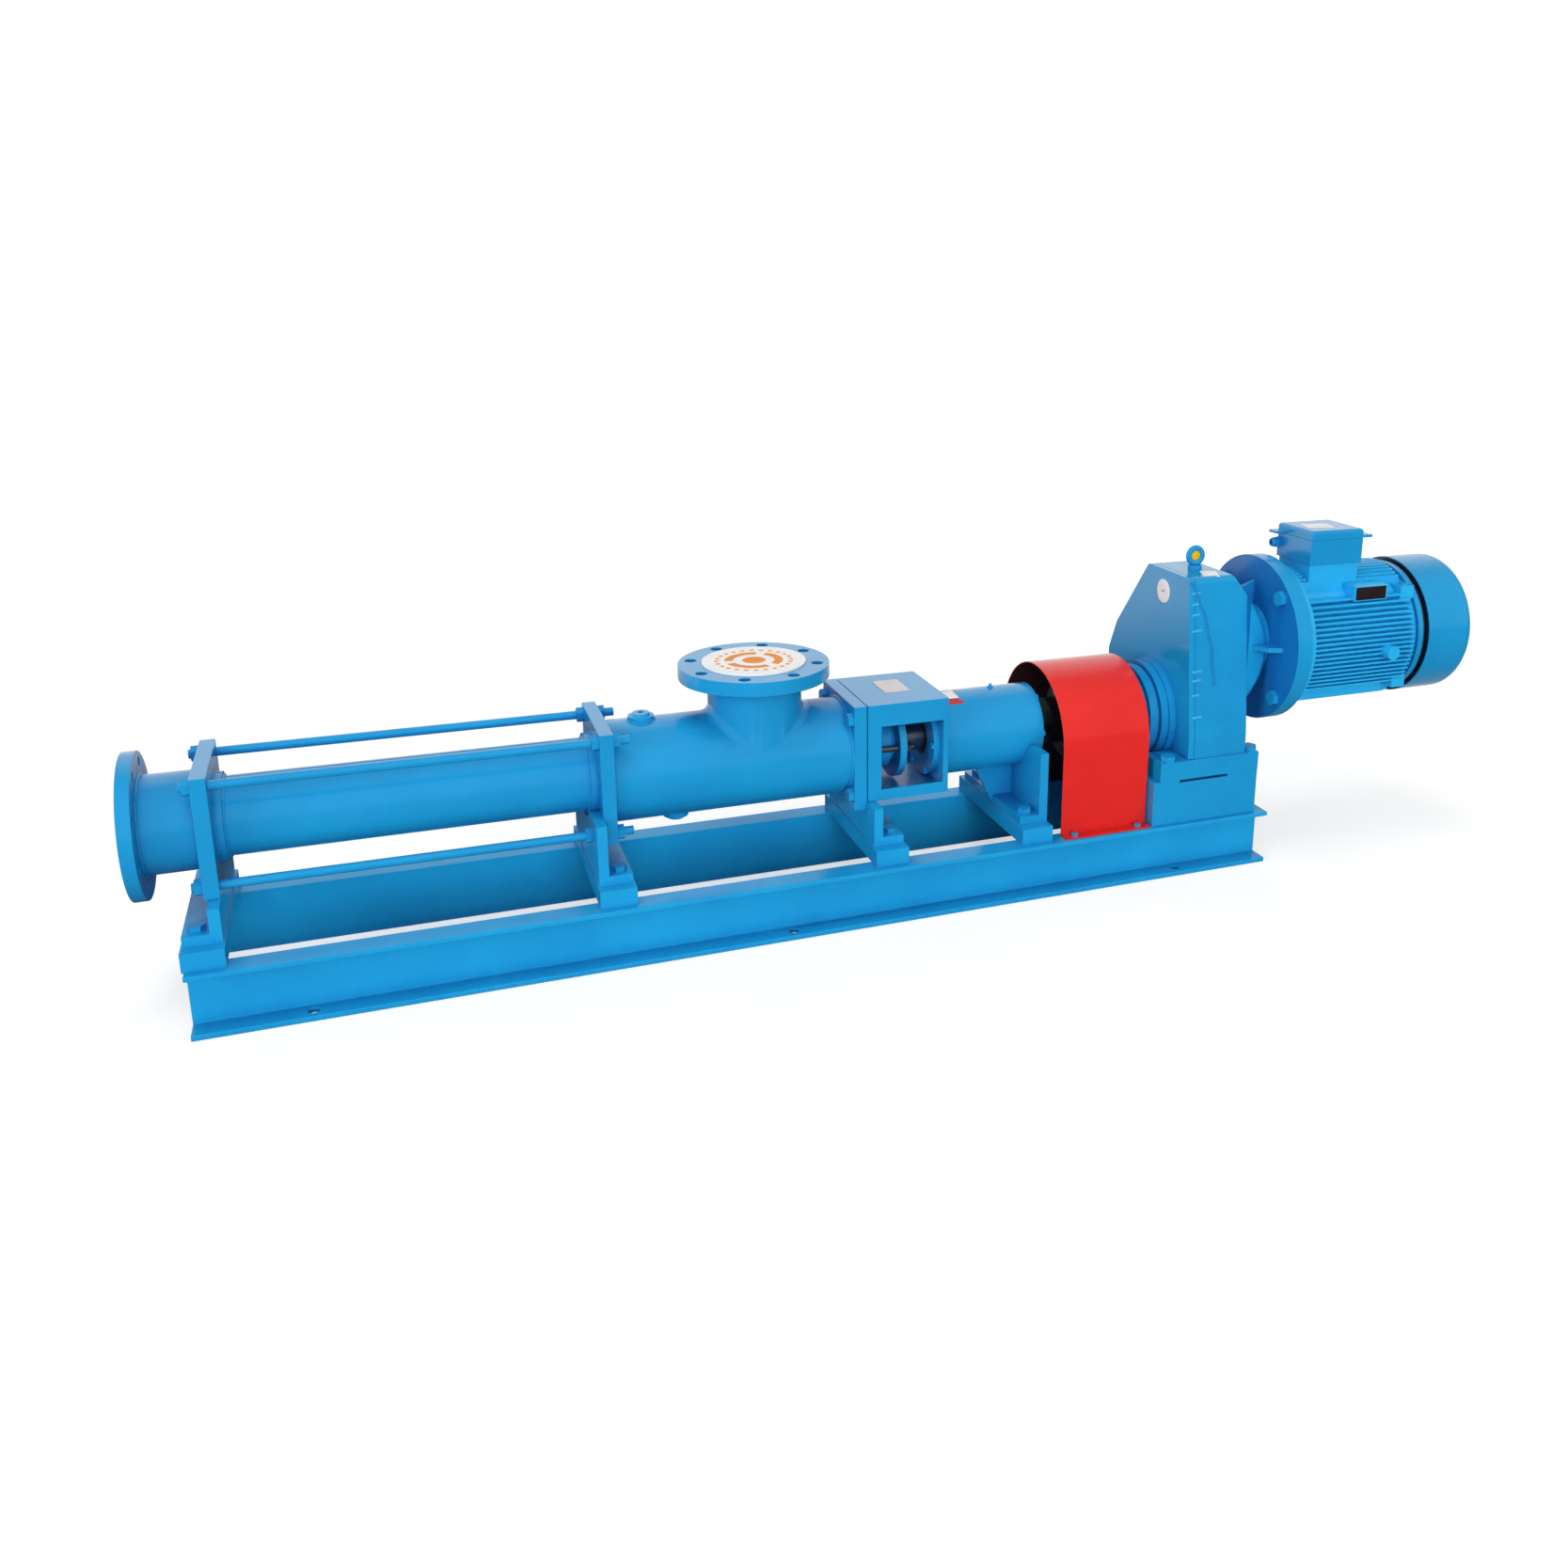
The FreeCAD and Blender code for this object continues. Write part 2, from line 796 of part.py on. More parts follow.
# Heights and offsets shared by several pieces
bearer_top = sizes.rail_depth + sizes.bearer_depth
foot_top = bearer_top + sizes.foot_thickness
plate_half = sizes.plate_size / 2
first_flange_hole = as_size(180) / sizes.flange_hole_count
rail_half = sizes.rail_outer_width / 2
anchor_row = rail_half - sizes.anchor_edge_distance
bearer_half = rail_half - sizes.bearer_setback
foot_half = rail_half - sizes.foot_setback
guard_radius = rail_half - sizes.guard_rail_margin - sizes.guard_lip
guard_rise = sizes.axis_height - sizes.rail_depth - sizes.guard_axis_drop
gear_floor = sizes.axis_height - sizes.gear_axis_rise
pedestal_height = gear_floor - sizes.rail_depth
centre_distance = sizes.gear_module * (sizes.pinion_teeth + sizes.wheel_teeth) / 2
motor_rise = root(centre_distance * centre_distance - sizes.motor_offset * sizes.motor_offset)
motor_height = sizes.axis_height + motor_rise
pump_axis = (0, sizes.axis_height)
stator_inner = sizes.stator_tube_radius - sizes.stator_tube_wall
chamber_inner = sizes.chamber_radius - sizes.chamber_wall
packing_radius = sizes.shaft_radius + sizes.packing_width
stuffing_radius = packing_radius + sizes.stuffing_wall
packing_length = sizes.packing_width * sizes.packing_ring_count
seal_radius = sizes.shaft_radius + sizes.running_clearance + sizes.seal_wall
output_spigot = sizes.output_bearing_radius + sizes.output_spigot_wall
casing_foot_top = sizes.gear_foot_thickness - sizes.gear_axis_rise
core_start = motor_start + sizes.core_start_gap
motor_shaft_start = casing_end - sizes.motor_shaft_engagement
fan_start = motor_end + sizes.shield_thickness + sizes.fan_cover_gap + sizes.fan_start_gap
terminal_rise = sizes.fin_radius + sizes.saddle_rise
terminal_middle = -sizes.motor_offset - sizes.terminal_box_shift
motor_bolt_count = int(float(sizes.motor_bolt_count))
motor_plate_start = motor_end - sizes.motor_plate_from_end
cover_screw_circle = (sizes.pump_bearing_radius + sizes.housing_radius) / 2
coupling_middle = (guard_start + guard_end) / 2
guard_bolt_stations = [guard_start + sizes.guard_bolt_margin, guard_end - sizes.guard_bolt_margin]
guard_bolt_sides = [
    side * (guard_radius + sizes.guard_lip / 2) for side in (-1, 1)
]

# Places of the bearings
pump_bearing_places = [
    bracket_end + sizes.seat_clearance,
    housing_end - sizes.pump_bearing_width - sizes.cover_spigot_wall,
]
output_bearing_places = [
    casing_start - sizes.output_front_bearing_lead,
    casing_end - sizes.output_bearing_width - sizes.output_rear_bearing_gap,
]
pinion_front_place = casing_start + sizes.gear_front_wall
pinion_rear_place = casing_end - sizes.pinion_rear_bearing_width
motor_bearing_places = [
    motor_start,
    motor_end - sizes.motor_bearing_width,
]
gear_start = pinion_front_place + sizes.pinion_front_bearing_width + sizes.gear_hub_gap

# Bolt places
angle_starts = {
    "discharge": stator_start - sizes.foot_length,
    "middle": suction_start - sizes.foot_thickness,
    "bracket": bracket_start,
    "housing": housing_end - sizes.foot_length - sizes.housing_leg_setback,
}
foot_towards_plus = {"discharge": False, "middle": True, "bracket": True, "housing": False}
foot_bolt_reach = (sizes.foot_length - sizes.foot_thickness) / 2
foot_stations = {
    name: start + foot_bolt_reach + (sizes.foot_thickness if foot_towards_plus[name] else 0)
    for name, start in angle_starts.items()
}
bearer_starts = {
    name: start + (sizes.foot_length - sizes.bearer_width) / 2
    for name, start in angle_starts.items()
}
foot_bolt_sides = [side * (foot_half - sizes.foot_bolt_margin) for side in (-1, 1)]
plate_corners = [
    (across * sizes.tie_rod_offset, up * sizes.tie_rod_offset)
    for across in (-1, 1)
    for up in (-1, 1)
]
pedestal_half = rail_half - sizes.pedestal_setback
gear_foot_start = casing_start - sizes.gear_foot_reach
gear_foot_end = casing_end + sizes.gear_foot_overhang
pedestal_start = gear_foot_start - sizes.pedestal_lead
gear_foot_bolts = [
    (station, side * (pedestal_half - sizes.pedestal_wall / 2))
    for station in (
        gear_foot_start + sizes.gear_bolt_front_margin,
        gear_foot_end - sizes.gear_bolt_rear_margin,
    )
    for side in (-1, 1)
]
bracket_corners = [
    (across * sizes.bracket_bolt_offset, up * sizes.bracket_bolt_drop)
    for across in (-1, 1)
    for up in (-1, 1)
]


# Base frame

def base_rail(label, side):
    """A channel rail, its flanges pointing outwards."""
    body = new_body(label, (rail_start, 0, 0))
    outer = side * rail_half
    back = side * (rail_half - sizes.rail_flange_width)
    web = back + side * sizes.rail_web_thickness
    top = sizes.rail_depth
    lip = sizes.rail_flange_thickness
    corners = [
        (outer, 0), (back, 0), (back, top), (outer, top),
        (outer, top - lip), (web, top - lip), (web, lip), (outer, lip),
    ]
    add_block(body, "YZ", corners, 0, rail_end - rail_start)
    row = side * anchor_row
    anchors = [(number * sizes.anchor_pitch - rail_start, row) for number in (-1, 0, 1)]
    cut_discs(body, "XY", anchors, sizes.anchor_hole_radius, 0, lip)
    lip_row = side * (guard_radius + sizes.guard_lip / 2)
    screws = [(station - rail_start, lip_row) for station in guard_bolt_stations]
    cut_discs(body, "XY", screws, sizes.cover_screw_radius + sizes.seat_clearance, top - lip, lip)


def bearer_bars():
    """Flat bars across the rails that carry the pump's feet."""
    bars = []
    for name, start in bearer_starts.items():
        bar = block(
            sizes.bearer_width,
            bearer_half * 2,
            sizes.bearer_depth,
            (start, -bearer_half, sizes.rail_depth),
        )
        for side in foot_bolt_sides:
            hole = cylinder(
                sizes.foot_bolt_radius + sizes.seat_clearance,
                sizes.bearer_depth,
                (foot_stations[name], side, sizes.rail_depth),
            )
            bar = cut(bar, hole)
        bars.append(bar)
    group("bearer_bars", bars)


def gearbox_pedestal():
    """Open box that lifts the gear unit and leaves room for its oil sump."""
    body = new_body("gearbox_pedestal", (pedestal_start, 0, sizes.rail_depth))
    length = gear_foot_end - pedestal_start
    half = pedestal_half
    wall = sizes.pedestal_wall
    top = pedestal_height
    add_block(body, "XY", rectangle(0, length, -half, half), 0, top)
    hollow = rectangle(wall, length - wall, -half + wall, half - wall)
    cut_block(body, "XY", hollow, 0, top)
    slot_end = sizes.pedestal_slot_start + sizes.pedestal_slot_length
    slot = rectangle(sizes.pedestal_slot_start, slot_end, top - sizes.pedestal_slot_depth, top)
    cut_block(body, "XZ", slot, -half, half * 2)
    holes = [(x - pedestal_start, y) for x, y in gear_foot_bolts]
    hole = sizes.gear_bolt_radius + sizes.seat_clearance
    hole_start = top - sizes.pedestal_hole_depth
    cut_discs(body, "XY", holes, hole, hole_start, sizes.pedestal_hole_depth)


def angle_body(name, rise):
    """An angle: an upright of a given rise with a bolted foot to one side."""
    body = loose_body(name + "_angle", (angle_starts[name], 0, bearer_top))
    half = foot_half
    thickness = sizes.foot_thickness
    if foot_towards_plus[name]:
        upright = rectangle(0, thickness, -half, half)
    else:
        upright = rectangle(sizes.foot_length - thickness, sizes.foot_length, -half, half)
    add_block(body, "XY", rectangle(0, sizes.foot_length, -half, half), 0, thickness)
    add_block(body, "XY", upright, 0, rise)
    holes = [(foot_stations[name] - angle_starts[name], side) for side in foot_bolt_sides]
    cut_discs(body, "XY", holes, sizes.foot_bolt_radius + sizes.seat_clearance, 0, thickness)
    return body


def support_feet():
    """The three angle feet under the end plates and the bracket."""
    plate_bottom = sizes.axis_height - plate_half
    discharge = angle_body("discharge", plate_bottom - bearer_top)
    middle = angle_body("middle", plate_bottom + sizes.middle_upright_overlap - bearer_top)
    axis_rise = sizes.axis_height - bearer_top
    collar_clear = sizes.stator_collar_radius + 2 * sizes.bolt_clearance
    cut_discs(middle, "YZ", [(0, axis_rise)], collar_clear, 0, sizes.foot_thickness)
    rods = [(side * sizes.tie_rod_offset, axis_rise - sizes.tie_rod_offset) for side in (-1, 1)]
    cut_discs(middle, "YZ", rods, sizes.tie_rod_radius + sizes.seat_clearance, 0, sizes.foot_thickness)
    bracket = angle_body("bracket", sizes.axis_height - sizes.bracket_bottom - bearer_top)
    group("support_feet", [discharge, middle, bracket])


def base_bolts():
    """Hexagon bolts of the pump's feet, of the guard's lips and of the gear unit's foot."""
    reach = sizes.foot_thickness + sizes.bearer_depth - sizes.bolt_tip_gap
    foot_bolt = hex_bolt(sizes.foot_bolt_radius, reach)
    bolts = [
        copy_at(foot_bolt, (station, side, foot_top))
        for station in foot_stations.values()
        for side in foot_bolt_sides
    ]
    lip_bolt = hex_bolt(sizes.cover_screw_radius, sizes.rail_flange_thickness)
    lip_top = sizes.rail_depth + sizes.guard_thickness
    for station in guard_bolt_stations:
        for side in guard_bolt_sides:
            bolts.append(copy_at(lip_bolt, (station, side, lip_top)))
    gear_bolt = hex_bolt(sizes.gear_bolt_radius, sizes.gear_foot_thickness + sizes.gear_bolt_reach)
    gear_foot_height = gear_floor + sizes.gear_foot_thickness
    bolts += [copy_at(gear_bolt, (x, y, gear_foot_height)) for x, y in gear_foot_bolts]
    group("base_bolts", bolts)


# Discharge end and stator

def discharge_casing():
    """Discharge flange, neck and square clamping plate."""
    body = new_body("discharge_casing", (discharge_face, 0, sizes.axis_height))
    nozzle = sizes.discharge_nozzle_length
    flange = sizes.discharge_flange_thickness
    turn(body, steps(
        0,
        (flange, sizes.discharge_flange_radius),
        (nozzle, sizes.discharge_neck_radius),
        inner=sizes.discharge_bore_radius,
    ))
    square = rectangle(-plate_half, plate_half, -plate_half, plate_half)
    add_block(body, "YZ", square, nozzle, sizes.plate_thickness)
    cut_discs(body, "YZ", [(0, 0)], sizes.discharge_bore_radius, nozzle, sizes.plate_thickness)
    rod_hole = sizes.tie_rod_radius + sizes.bolt_clearance / 2
    cut_discs(body, "YZ", plate_corners, rod_hole, nozzle, sizes.plate_thickness)
    cut_hole_circle(
        body, "YZ", (0, 0), sizes.discharge_pitch_radius, sizes.discharge_hole_radius,
        sizes.flange_hole_count, first_flange_hole, 0, flange,
    )


def stator_tube():
    """Steel tube of the stator with a collar at each end."""
    body = new_body("stator_tube", (stator_start, 0, sizes.axis_height))
    length = sizes.stator_length
    collar = sizes.stator_collar_width
    turn(body, steps(
        0,
        (collar, sizes.stator_collar_radius),
        (length - collar, sizes.stator_tube_radius),
        (length, sizes.stator_collar_radius),
        inner=stator_inner,
    ))


def helix_path(turns_length, pitch, radius, angle):
    """Points of a helix about X joined by one smooth curve."""
    count = int(turns_length / pitch * 16) + 2
    points = []
    for index in range(count + 1):
        station = turns_length * index / count
        turned = math.radians(angle + 360 * station / pitch)
        points.append(Vector(station, radius * math.cos(turned), radius * math.sin(turned)))
    curve = Part.BSplineCurve()
    curve.interpolate(points)
    return Part.Wire([curve.toShape()])


def stator_cavity(length):
    """Two-start cavity: a slot that makes half a turn in each pitch of the rotor."""
    radius = float(sizes.rotor_radius + sizes.rotor_gap)
    reach = float(2 * sizes.rotor_eccentricity)
    top = [Vector(0, reach, radius), Vector(0, reach + radius, 0), Vector(0, reach, -radius)]
    end = [Vector(0, -reach, -radius), Vector(0, -reach - radius, 0), Vector(0, -reach, radius)]
    slot = Part.Wire([
        Part.Arc(*top).toShape(),
        Part.LineSegment(top[2], end[0]).toShape(),
        Part.Arc(*end).toShape(),
        Part.LineSegment(end[2], top[0]).toShape(),
    ])
    spine = Part.Wire([Part.LineSegment(Vector(0, 0, 0), Vector(length, 0, 0)).toShape()])
    guide = helix_path(length, 2 * float(sizes.rotor_pitch), GUIDE_RADIUS, 0)
    shell = Part.BRepOffsetAPI.MakePipeShell(spine)
    shell.setAuxiliarySpine(guide, False, 0)
    shell.add(slot, False, False)
    shell.build()
    shell.makeSolid()
    return shell.shape()


def stator_lining():
    """Rubber lining moulded into the tube around the two-start cavity."""
    length = float(sizes.stator_length)
    outer = float(stator_inner - sizes.seat_clearance / 2)
    barrel = Part.makeCylinder(outer, length, Vector(0, 0, 0), Vector(1, 0, 0))
    lining = doc.addObject("Part::Feature", "stator_lining")
    lining.Shape = barrel.cut(stator_cavity(length))
    place(lining, (stator_start, 0, sizes.axis_height))
    sub_part(lining, "stator_lining")


def tie_rods():
    """Four rods that clamp the stator between the two square plates."""
    span = sizes.stator_length + 2 * sizes.plate_thickness
    rod = cylinder(sizes.tie_rod_radius, span + sizes.tie_rod_front_end + sizes.tie_rod_rear_end)
    start = plate_start - sizes.tie_rod_front_end
    rods = [copy_at(rod, (start, y, sizes.axis_height + z), "+X") for y, z in plate_corners]
    group("tie_rods", rods)


def tie_rod_nuts():
    """Nuts outside both plates and lock nuts behind the middle plate."""
    nut = hex_nut(sizes.tie_rod_radius)
    nuts = []
    for y, z in plate_corners:
        height = sizes.axis_height + z
        nuts.append(copy_at(nut, (plate_start, y, height), "-X"))
        nuts.append(copy_at(nut, (chamber_start, y, height), "+X"))
        lock_face = suction_start
        if float(z) < 0:
            lock_face = suction_start - sizes.foot_thickness
        nuts.append(copy_at(nut, (lock_face, y, height), "-X"))
    group("tie_rod_nuts", nuts)


# Suction chamber

def suction_casing():
    """Suction chamber with its plates, port and plug bosses."""
    body = new_body("suction_casing", (suction_start, 0, sizes.axis_height))
    plate = sizes.plate_thickness
    chamber_stop = plate + sizes.chamber_length
    port = sizes.suction_position
    flange_start = sizes.suction_rise - sizes.suction_flange_thickness
    square = rectangle(-plate_half, plate_half, -plate_half, plate_half)
    end_plate = rectangle(
        -sizes.bracket_half_width, sizes.bracket_half_width,
        -sizes.bracket_bottom - sizes.end_plate_drop, sizes.bracket_top,
    )
    add_block(body, "YZ", square, 0, plate)
    add_disc(body, "YZ", (0, 0), sizes.chamber_radius, plate, sizes.chamber_length)
    add_block(body, "YZ", end_plate, chamber_stop, plate)
    add_disc(body, "XY", (port, 0), sizes.suction_neck_radius, 0, flange_start)
    flange = sizes.suction_flange_thickness
    add_disc(body, "XY", (port, 0), sizes.suction_flange_radius, flange_start, flange)
    boss = sizes.chamber_radius + sizes.plug_boss_rise
    add_disc(body, "XY", (sizes.vent_position, 0), sizes.plug_boss_radius, 0, boss)
    add_disc(body, "XY", (sizes.drain_position, 0), sizes.plug_boss_radius, -boss, boss)
    cut_discs(body, "YZ", [(0, 0)], stator_inner, 0, plate)
    cut_discs(body, "YZ", [(0, 0)], chamber_inner, plate, sizes.chamber_length)
    cut_discs(body, "YZ", [(0, 0)], stuffing_radius + sizes.seat_clearance, chamber_stop, plate)
    cut_discs(body, "XY", [(port, 0)], sizes.suction_bore_radius, 0, sizes.suction_rise)
    plug_hole = sizes.plug_thread_radius + sizes.seat_clearance
    cut_discs(body, "XY", [(sizes.vent_position, 0)], plug_hole, 0, boss)
    cut_discs(body, "XY", [(sizes.drain_position, 0)], plug_hole, -boss, boss)
    rod_hole = sizes.tie_rod_radius + sizes.bolt_clearance / 2
    cut_discs(body, "YZ", plate_corners, rod_hole, 0, plate)
    bolt_hole = sizes.bracket_bolt_radius + sizes.seat_clearance
    cut_discs(body, "YZ", bracket_corners, bolt_hole, chamber_stop, plate)
    cut_hole_circle(
        body, "XY", (port, 0), sizes.suction_pitch_radius, sizes.suction_hole_radius,
        sizes.flange_hole_count, first_flange_hole, flange_start, flange,
    )


def casing_plugs():
    """Round-headed plugs of the vent on top and the drain below, each with a hexagon socket."""
    reach = sizes.plug_boss_rise + sizes.chamber_wall
    head = cone(sizes.plug_head_radius, sizes.plug_head_radius * 0.8, sizes.plug_head_rise)
    thread = cylinder(sizes.plug_thread_radius, reach, (0, 0, -reach))
    socket = hexagon(sizes.plug_thread_radius / 2, sizes.plug_head_rise)
    plug = cut(fuse(head, thread), socket)
    boss = sizes.chamber_radius + sizes.plug_boss_rise
    vent = copy_at(plug, (suction_start + sizes.vent_position, 0, sizes.axis_height + boss))
    drain_place = (suction_start + sizes.drain_position, 0, sizes.axis_height - boss)
    group("casing_plugs", [vent, copy_at(plug, drain_place, "-Z")])


def suction_port_cover():
    """Protective disc laid over the suction port."""
    cover = cylinder(
        sizes.port_cover_radius,
        sizes.port_cover_thickness,
        (suction_start + sizes.suction_position, 0, sizes.axis_height + sizes.suction_rise),
    )
    sub_part(cover, "suction_port_cover")


# Rotor, joints and connecting rod

def rotor():
    """Single-start helical rotor with the hollow head of its pin joint."""
    overrun = float(sizes.rotor_overrun)
    pitch = float(sizes.rotor_pitch)
    radius = float(sizes.rotor_radius)
    offset = float(sizes.rotor_eccentricity)
    joint = float(rotor_joint - stator_start)
    reach = float(sizes.rod_end_length) / 2
    head_start = joint + reach - float(sizes.joint_head_length)
    length = overrun + head_start + HIDDEN_OVERLAP
    first_angle = -360 * overrun / pitch
    path = helix_path(length, pitch, offset, first_angle)
    turned = math.radians(first_angle)
    middle = Vector(0, offset * math.cos(turned), offset * math.sin(turned))
    section = Part.Wire([Part.Circle(middle, Vector(1, 0, 0), radius).toShape()])
    shell = Part.BRepOffsetAPI.MakePipeShell(path)
    shell.setTrihedronMode(Vector(0, 0, 0), Vector(1, 0, 0))
    shell.add(section, False, False)
    shell.build()
    shell.makeSolid()
    screw = shell.shape()
    screw.translate(Vector(-overrun, 0, 0))
    along = Vector(1, 0, 0)
    head_radius = float(sizes.joint_head_radius)
    head = Part.makeCylinder(
        head_radius, float(sizes.joint_head_length), Vector(head_start, 0, 0), along)
    hollow_start = joint + reach - float(sizes.joint_pocket_depth)
    hollow = Part.makeCylinder(
        float(sizes.joint_pocket_radius), float(sizes.joint_pocket_depth),
        Vector(hollow_start, 0, 0), along)
    pin_hole = Part.makeCylinder(
        float(sizes.joint_pin_radius + sizes.seat_clearance), 2 * head_radius,
        Vector(joint, 0, -head_radius))
    piece = doc.addObject("Part::Feature", "rotor")
    piece.Shape = screw.fuse(head).cut(hollow).cut(pin_hole)
    place(piece, (stator_start, sizes.rotor_eccentricity, sizes.axis_height))
    sub_part(piece, "rotor")


def joint_pin(label, station, offset):
    """Pin of a joint, held in by the sleeve around the head."""
    length = 2 * (sizes.joint_head_radius - sizes.joint_pin_recess)
    bottom = sizes.axis_height - length / 2
    sub_part(cylinder(sizes.joint_pin_radius, length, (station, offset, bottom)), label)


def joint_sleeve(label, station, offset):
    """Sleeve that covers the ends of a joint pin."""
    start = station - sizes.joint_sleeve_width / 2
    body = new_body(label, (start, offset, sizes.axis_height))
    inner = sizes.joint_head_radius + sizes.running_clearance
    outer = inner + sizes.joint_sleeve_wall
    turn(body, steps(0, (sizes.joint_sleeve_width, outer), inner=inner))


def connecting_rod():
    """Rod between the two pin joints, tilted by the eccentricity."""
    run = drive_joint - rotor_joint
    offset = sizes.rotor_eccentricity
    length = root(run * run + offset * offset)
    half = sizes.rod_end_length / 2
    body = new_body("connecting_rod", (rotor_joint, offset, sizes.axis_height))
    tilt = math.degrees(math.atan(float(offset) / float(run)))
    body.Placement = Placement(body.Placement.Base, Rotation(Vector(0, 0, 1), -tilt))
    body.setExpression("Placement.Rotation.Angle", f"-atan({offset.text} / {run.text})")
    turn(body, steps(
        -half,
        (half, sizes.rod_end_radius),
        (length - half, sizes.rod_radius),
        (length + half, sizes.rod_end_radius),
    ))
    hole = sizes.joint_pin_radius + sizes.joint_pin_play
    ends = [(0, 0), (length, 0)]
    cut_discs(body, "XY", ends, hole, -sizes.rod_end_radius, 2 * sizes.rod_end_radius)


def drive_shaft():
    """Pump shaft with the hollow joint head, bearing seats and coupling seat."""
    half = sizes.rod_end_length / 2
    start = drive_joint - half
    body = new_body("drive_shaft", (start, 0, sizes.axis_height))
    head = sizes.joint_head_length
    gap = 2 * sizes.seat_clearance
    front_shoulder = pump_bearing_places[0] + sizes.pump_bearing_width + gap - start
    rear_shoulder = pump_bearing_places[1] - gap - start
    cover_end = housing_end + sizes.cover_thickness + sizes.shaft_step_margin - start
    turn(body, steps(
        0,
        (head, sizes.joint_head_radius),
        (front_shoulder, sizes.shaft_radius),
        (rear_shoulder, sizes.shaft_radius + sizes.shaft_collar_rise),
        (cover_end, sizes.shaft_radius),
        (coupling_middle - sizes.coupling_gap - start, sizes.coupling_bore_radius),
    ))
    cut_discs(body, "YZ", [(0, 0)], sizes.joint_pocket_radius, 0, sizes.joint_pocket_depth)
    hole = sizes.joint_pin_radius + sizes.seat_clearance
    cut_discs(body, "XY", [(half, 0)], hole, -sizes.joint_head_radius, 2 * sizes.joint_head_radius)


# Shaft sealing

def stuffing_box():
    """Box for the packing, set in the chamber's end plate and the bracket's wall."""
    body = new_body("stuffing_box", (chamber_end, 0, sizes.axis_height))
    throat = sizes.throat_length
    length = throat + packing_length + sizes.gland_spigot_length - sizes.gland_reach
    turn(body, steps(0, (length, stuffing_radius), inner=sizes.shaft_radius + 2 * sizes.running_clearance))
    cut_discs(body, "YZ", [(0, 0)], packing_radius, throat, length - throat)


def packing_rings():
    """Square packing rings around the shaft."""
    template = ring(
        packing_radius - sizes.seat_clearance,
        sizes.shaft_radius + sizes.running_clearance,
        sizes.packing_width,
    )
    first = chamber_end + sizes.throat_length
    rings = [
        copy_at(template, (first + number * sizes.packing_width, 0, sizes.axis_height), "+X")
        for number in range(int(float(sizes.packing_ring_count)))
    ]
    group("packing_rings", rings)


def gland():
    """Gland that presses on the packing."""
    start = chamber_end + sizes.throat_length + packing_length
    body = new_body("gland", (start, 0, sizes.axis_height))
    spigot = sizes.gland_spigot_length
    flange_end = spigot + sizes.gland_flange_thickness
    turn(body, steps(
        0,
        (spigot, packing_radius - sizes.seat_clearance),
        (flange_end, sizes.gland_stud_offset + sizes.gland_flange_margin),
        inner=sizes.shaft_radius + 2 * sizes.running_clearance,
    ))
    studs = [(side * sizes.gland_stud_offset, 0) for side in (-1, 1)]
    hole = sizes.gland_stud_radius + sizes.seat_clearance
    cut_discs(body, "YZ", studs, hole, spigot, sizes.gland_flange_thickness)


def gland_studs():
    """Studs and nuts that draw the gland towards the packing."""
    wall_face = bracket_start + sizes.bracket_front_wall
    flange_face = (
        chamber_end + sizes.throat_length + packing_length
        + sizes.gland_spigot_length + sizes.gland_flange_thickness
    )
    depth = sizes.bracket_front_wall / 2
    stud = cylinder(
        sizes.gland_stud_radius, flange_face + sizes.gland_stud_end - wall_face + depth)
    nut = hex_nut(sizes.gland_stud_radius)
    pieces = []
    for side in (-1, 1):
        across = side * sizes.gland_stud_offset
        pieces.append(copy_at(stud, (wall_face - depth, across, sizes.axis_height), "+X"))
        pieces.append(copy_at(nut, (flange_face, across, sizes.axis_height), "+X"))
    group("gland_studs", pieces)


# Bearing bracket and bearing housing

def bearing_bracket():
    """Box between pump and bearings with a window on each side."""
    body = new_body("bearing_bracket", (bracket_start, 0, sizes.axis_height))
    half = sizes.bracket_half_width
    shell = sizes.bracket_shell
    front = sizes.bracket_front_wall
    room = sizes.bracket_length - front - sizes.bracket_rear_wall
    outside = rectangle(-half, half, -sizes.bracket_bottom, sizes.bracket_top)
    inside = rectangle(
        -half + shell, half - shell,
        -sizes.bracket_bottom + shell, sizes.bracket_top - shell,
    )
    window = rectangle(front, front + room, -sizes.window_bottom, sizes.window_top)
    add_block(body, "YZ", outside, 0, sizes.bracket_length)
    depth = sizes.bracket_seam_depth
    seam_floor = rectangle(
        -half + depth, half - depth,
        -sizes.bracket_bottom + depth, sizes.bracket_top - depth,
    )
    seam = new_sketch(body, "YZ", 0)
    draw_outline(seam, outside)
    draw_outline(seam, seam_floor)
    pocket(body, seam, "YZ", sizes.bracket_seam_width)
    cut_block(body, "YZ", inside, front, room)
    cut_block(body, "XZ", window, -half, 2 * half)
    cut_discs(body, "YZ", [(0, 0)], stuffing_radius + sizes.seat_clearance, 0, front)
    rear_start = front + room
    cut_discs(body, "YZ", [(0, 0)], sizes.pump_bearing_radius, rear_start, sizes.bracket_rear_wall)
    bolt_hole = sizes.bracket_bolt_radius + sizes.seat_clearance
    cut_discs(body, "YZ", bracket_corners, bolt_hole, 0, front)
    studs = [(side * sizes.gland_stud_offset, 0) for side in (-1, 1)]
    stud_hole = sizes.gland_stud_radius + sizes.seat_clearance
    cut_discs(body, "YZ", studs, stud_hole, front / 2, front / 2)
    cut_hole_circle(
        body, "YZ", (0, 0), cover_screw_circle, sizes.cover_screw_radius + sizes.seat_clearance,
        sizes.cover_screw_count, 0, rear_start, sizes.bracket_rear_wall,
    )


def screw_places(circle_radius, count, first_angle):
    """Places around a circle in the YZ plane."""
    angles = [first_angle + 360 / count * number for number in range(count)]
    return [(circle_radius * cosine(angle), circle_radius * sine(angle)) for angle in angles]


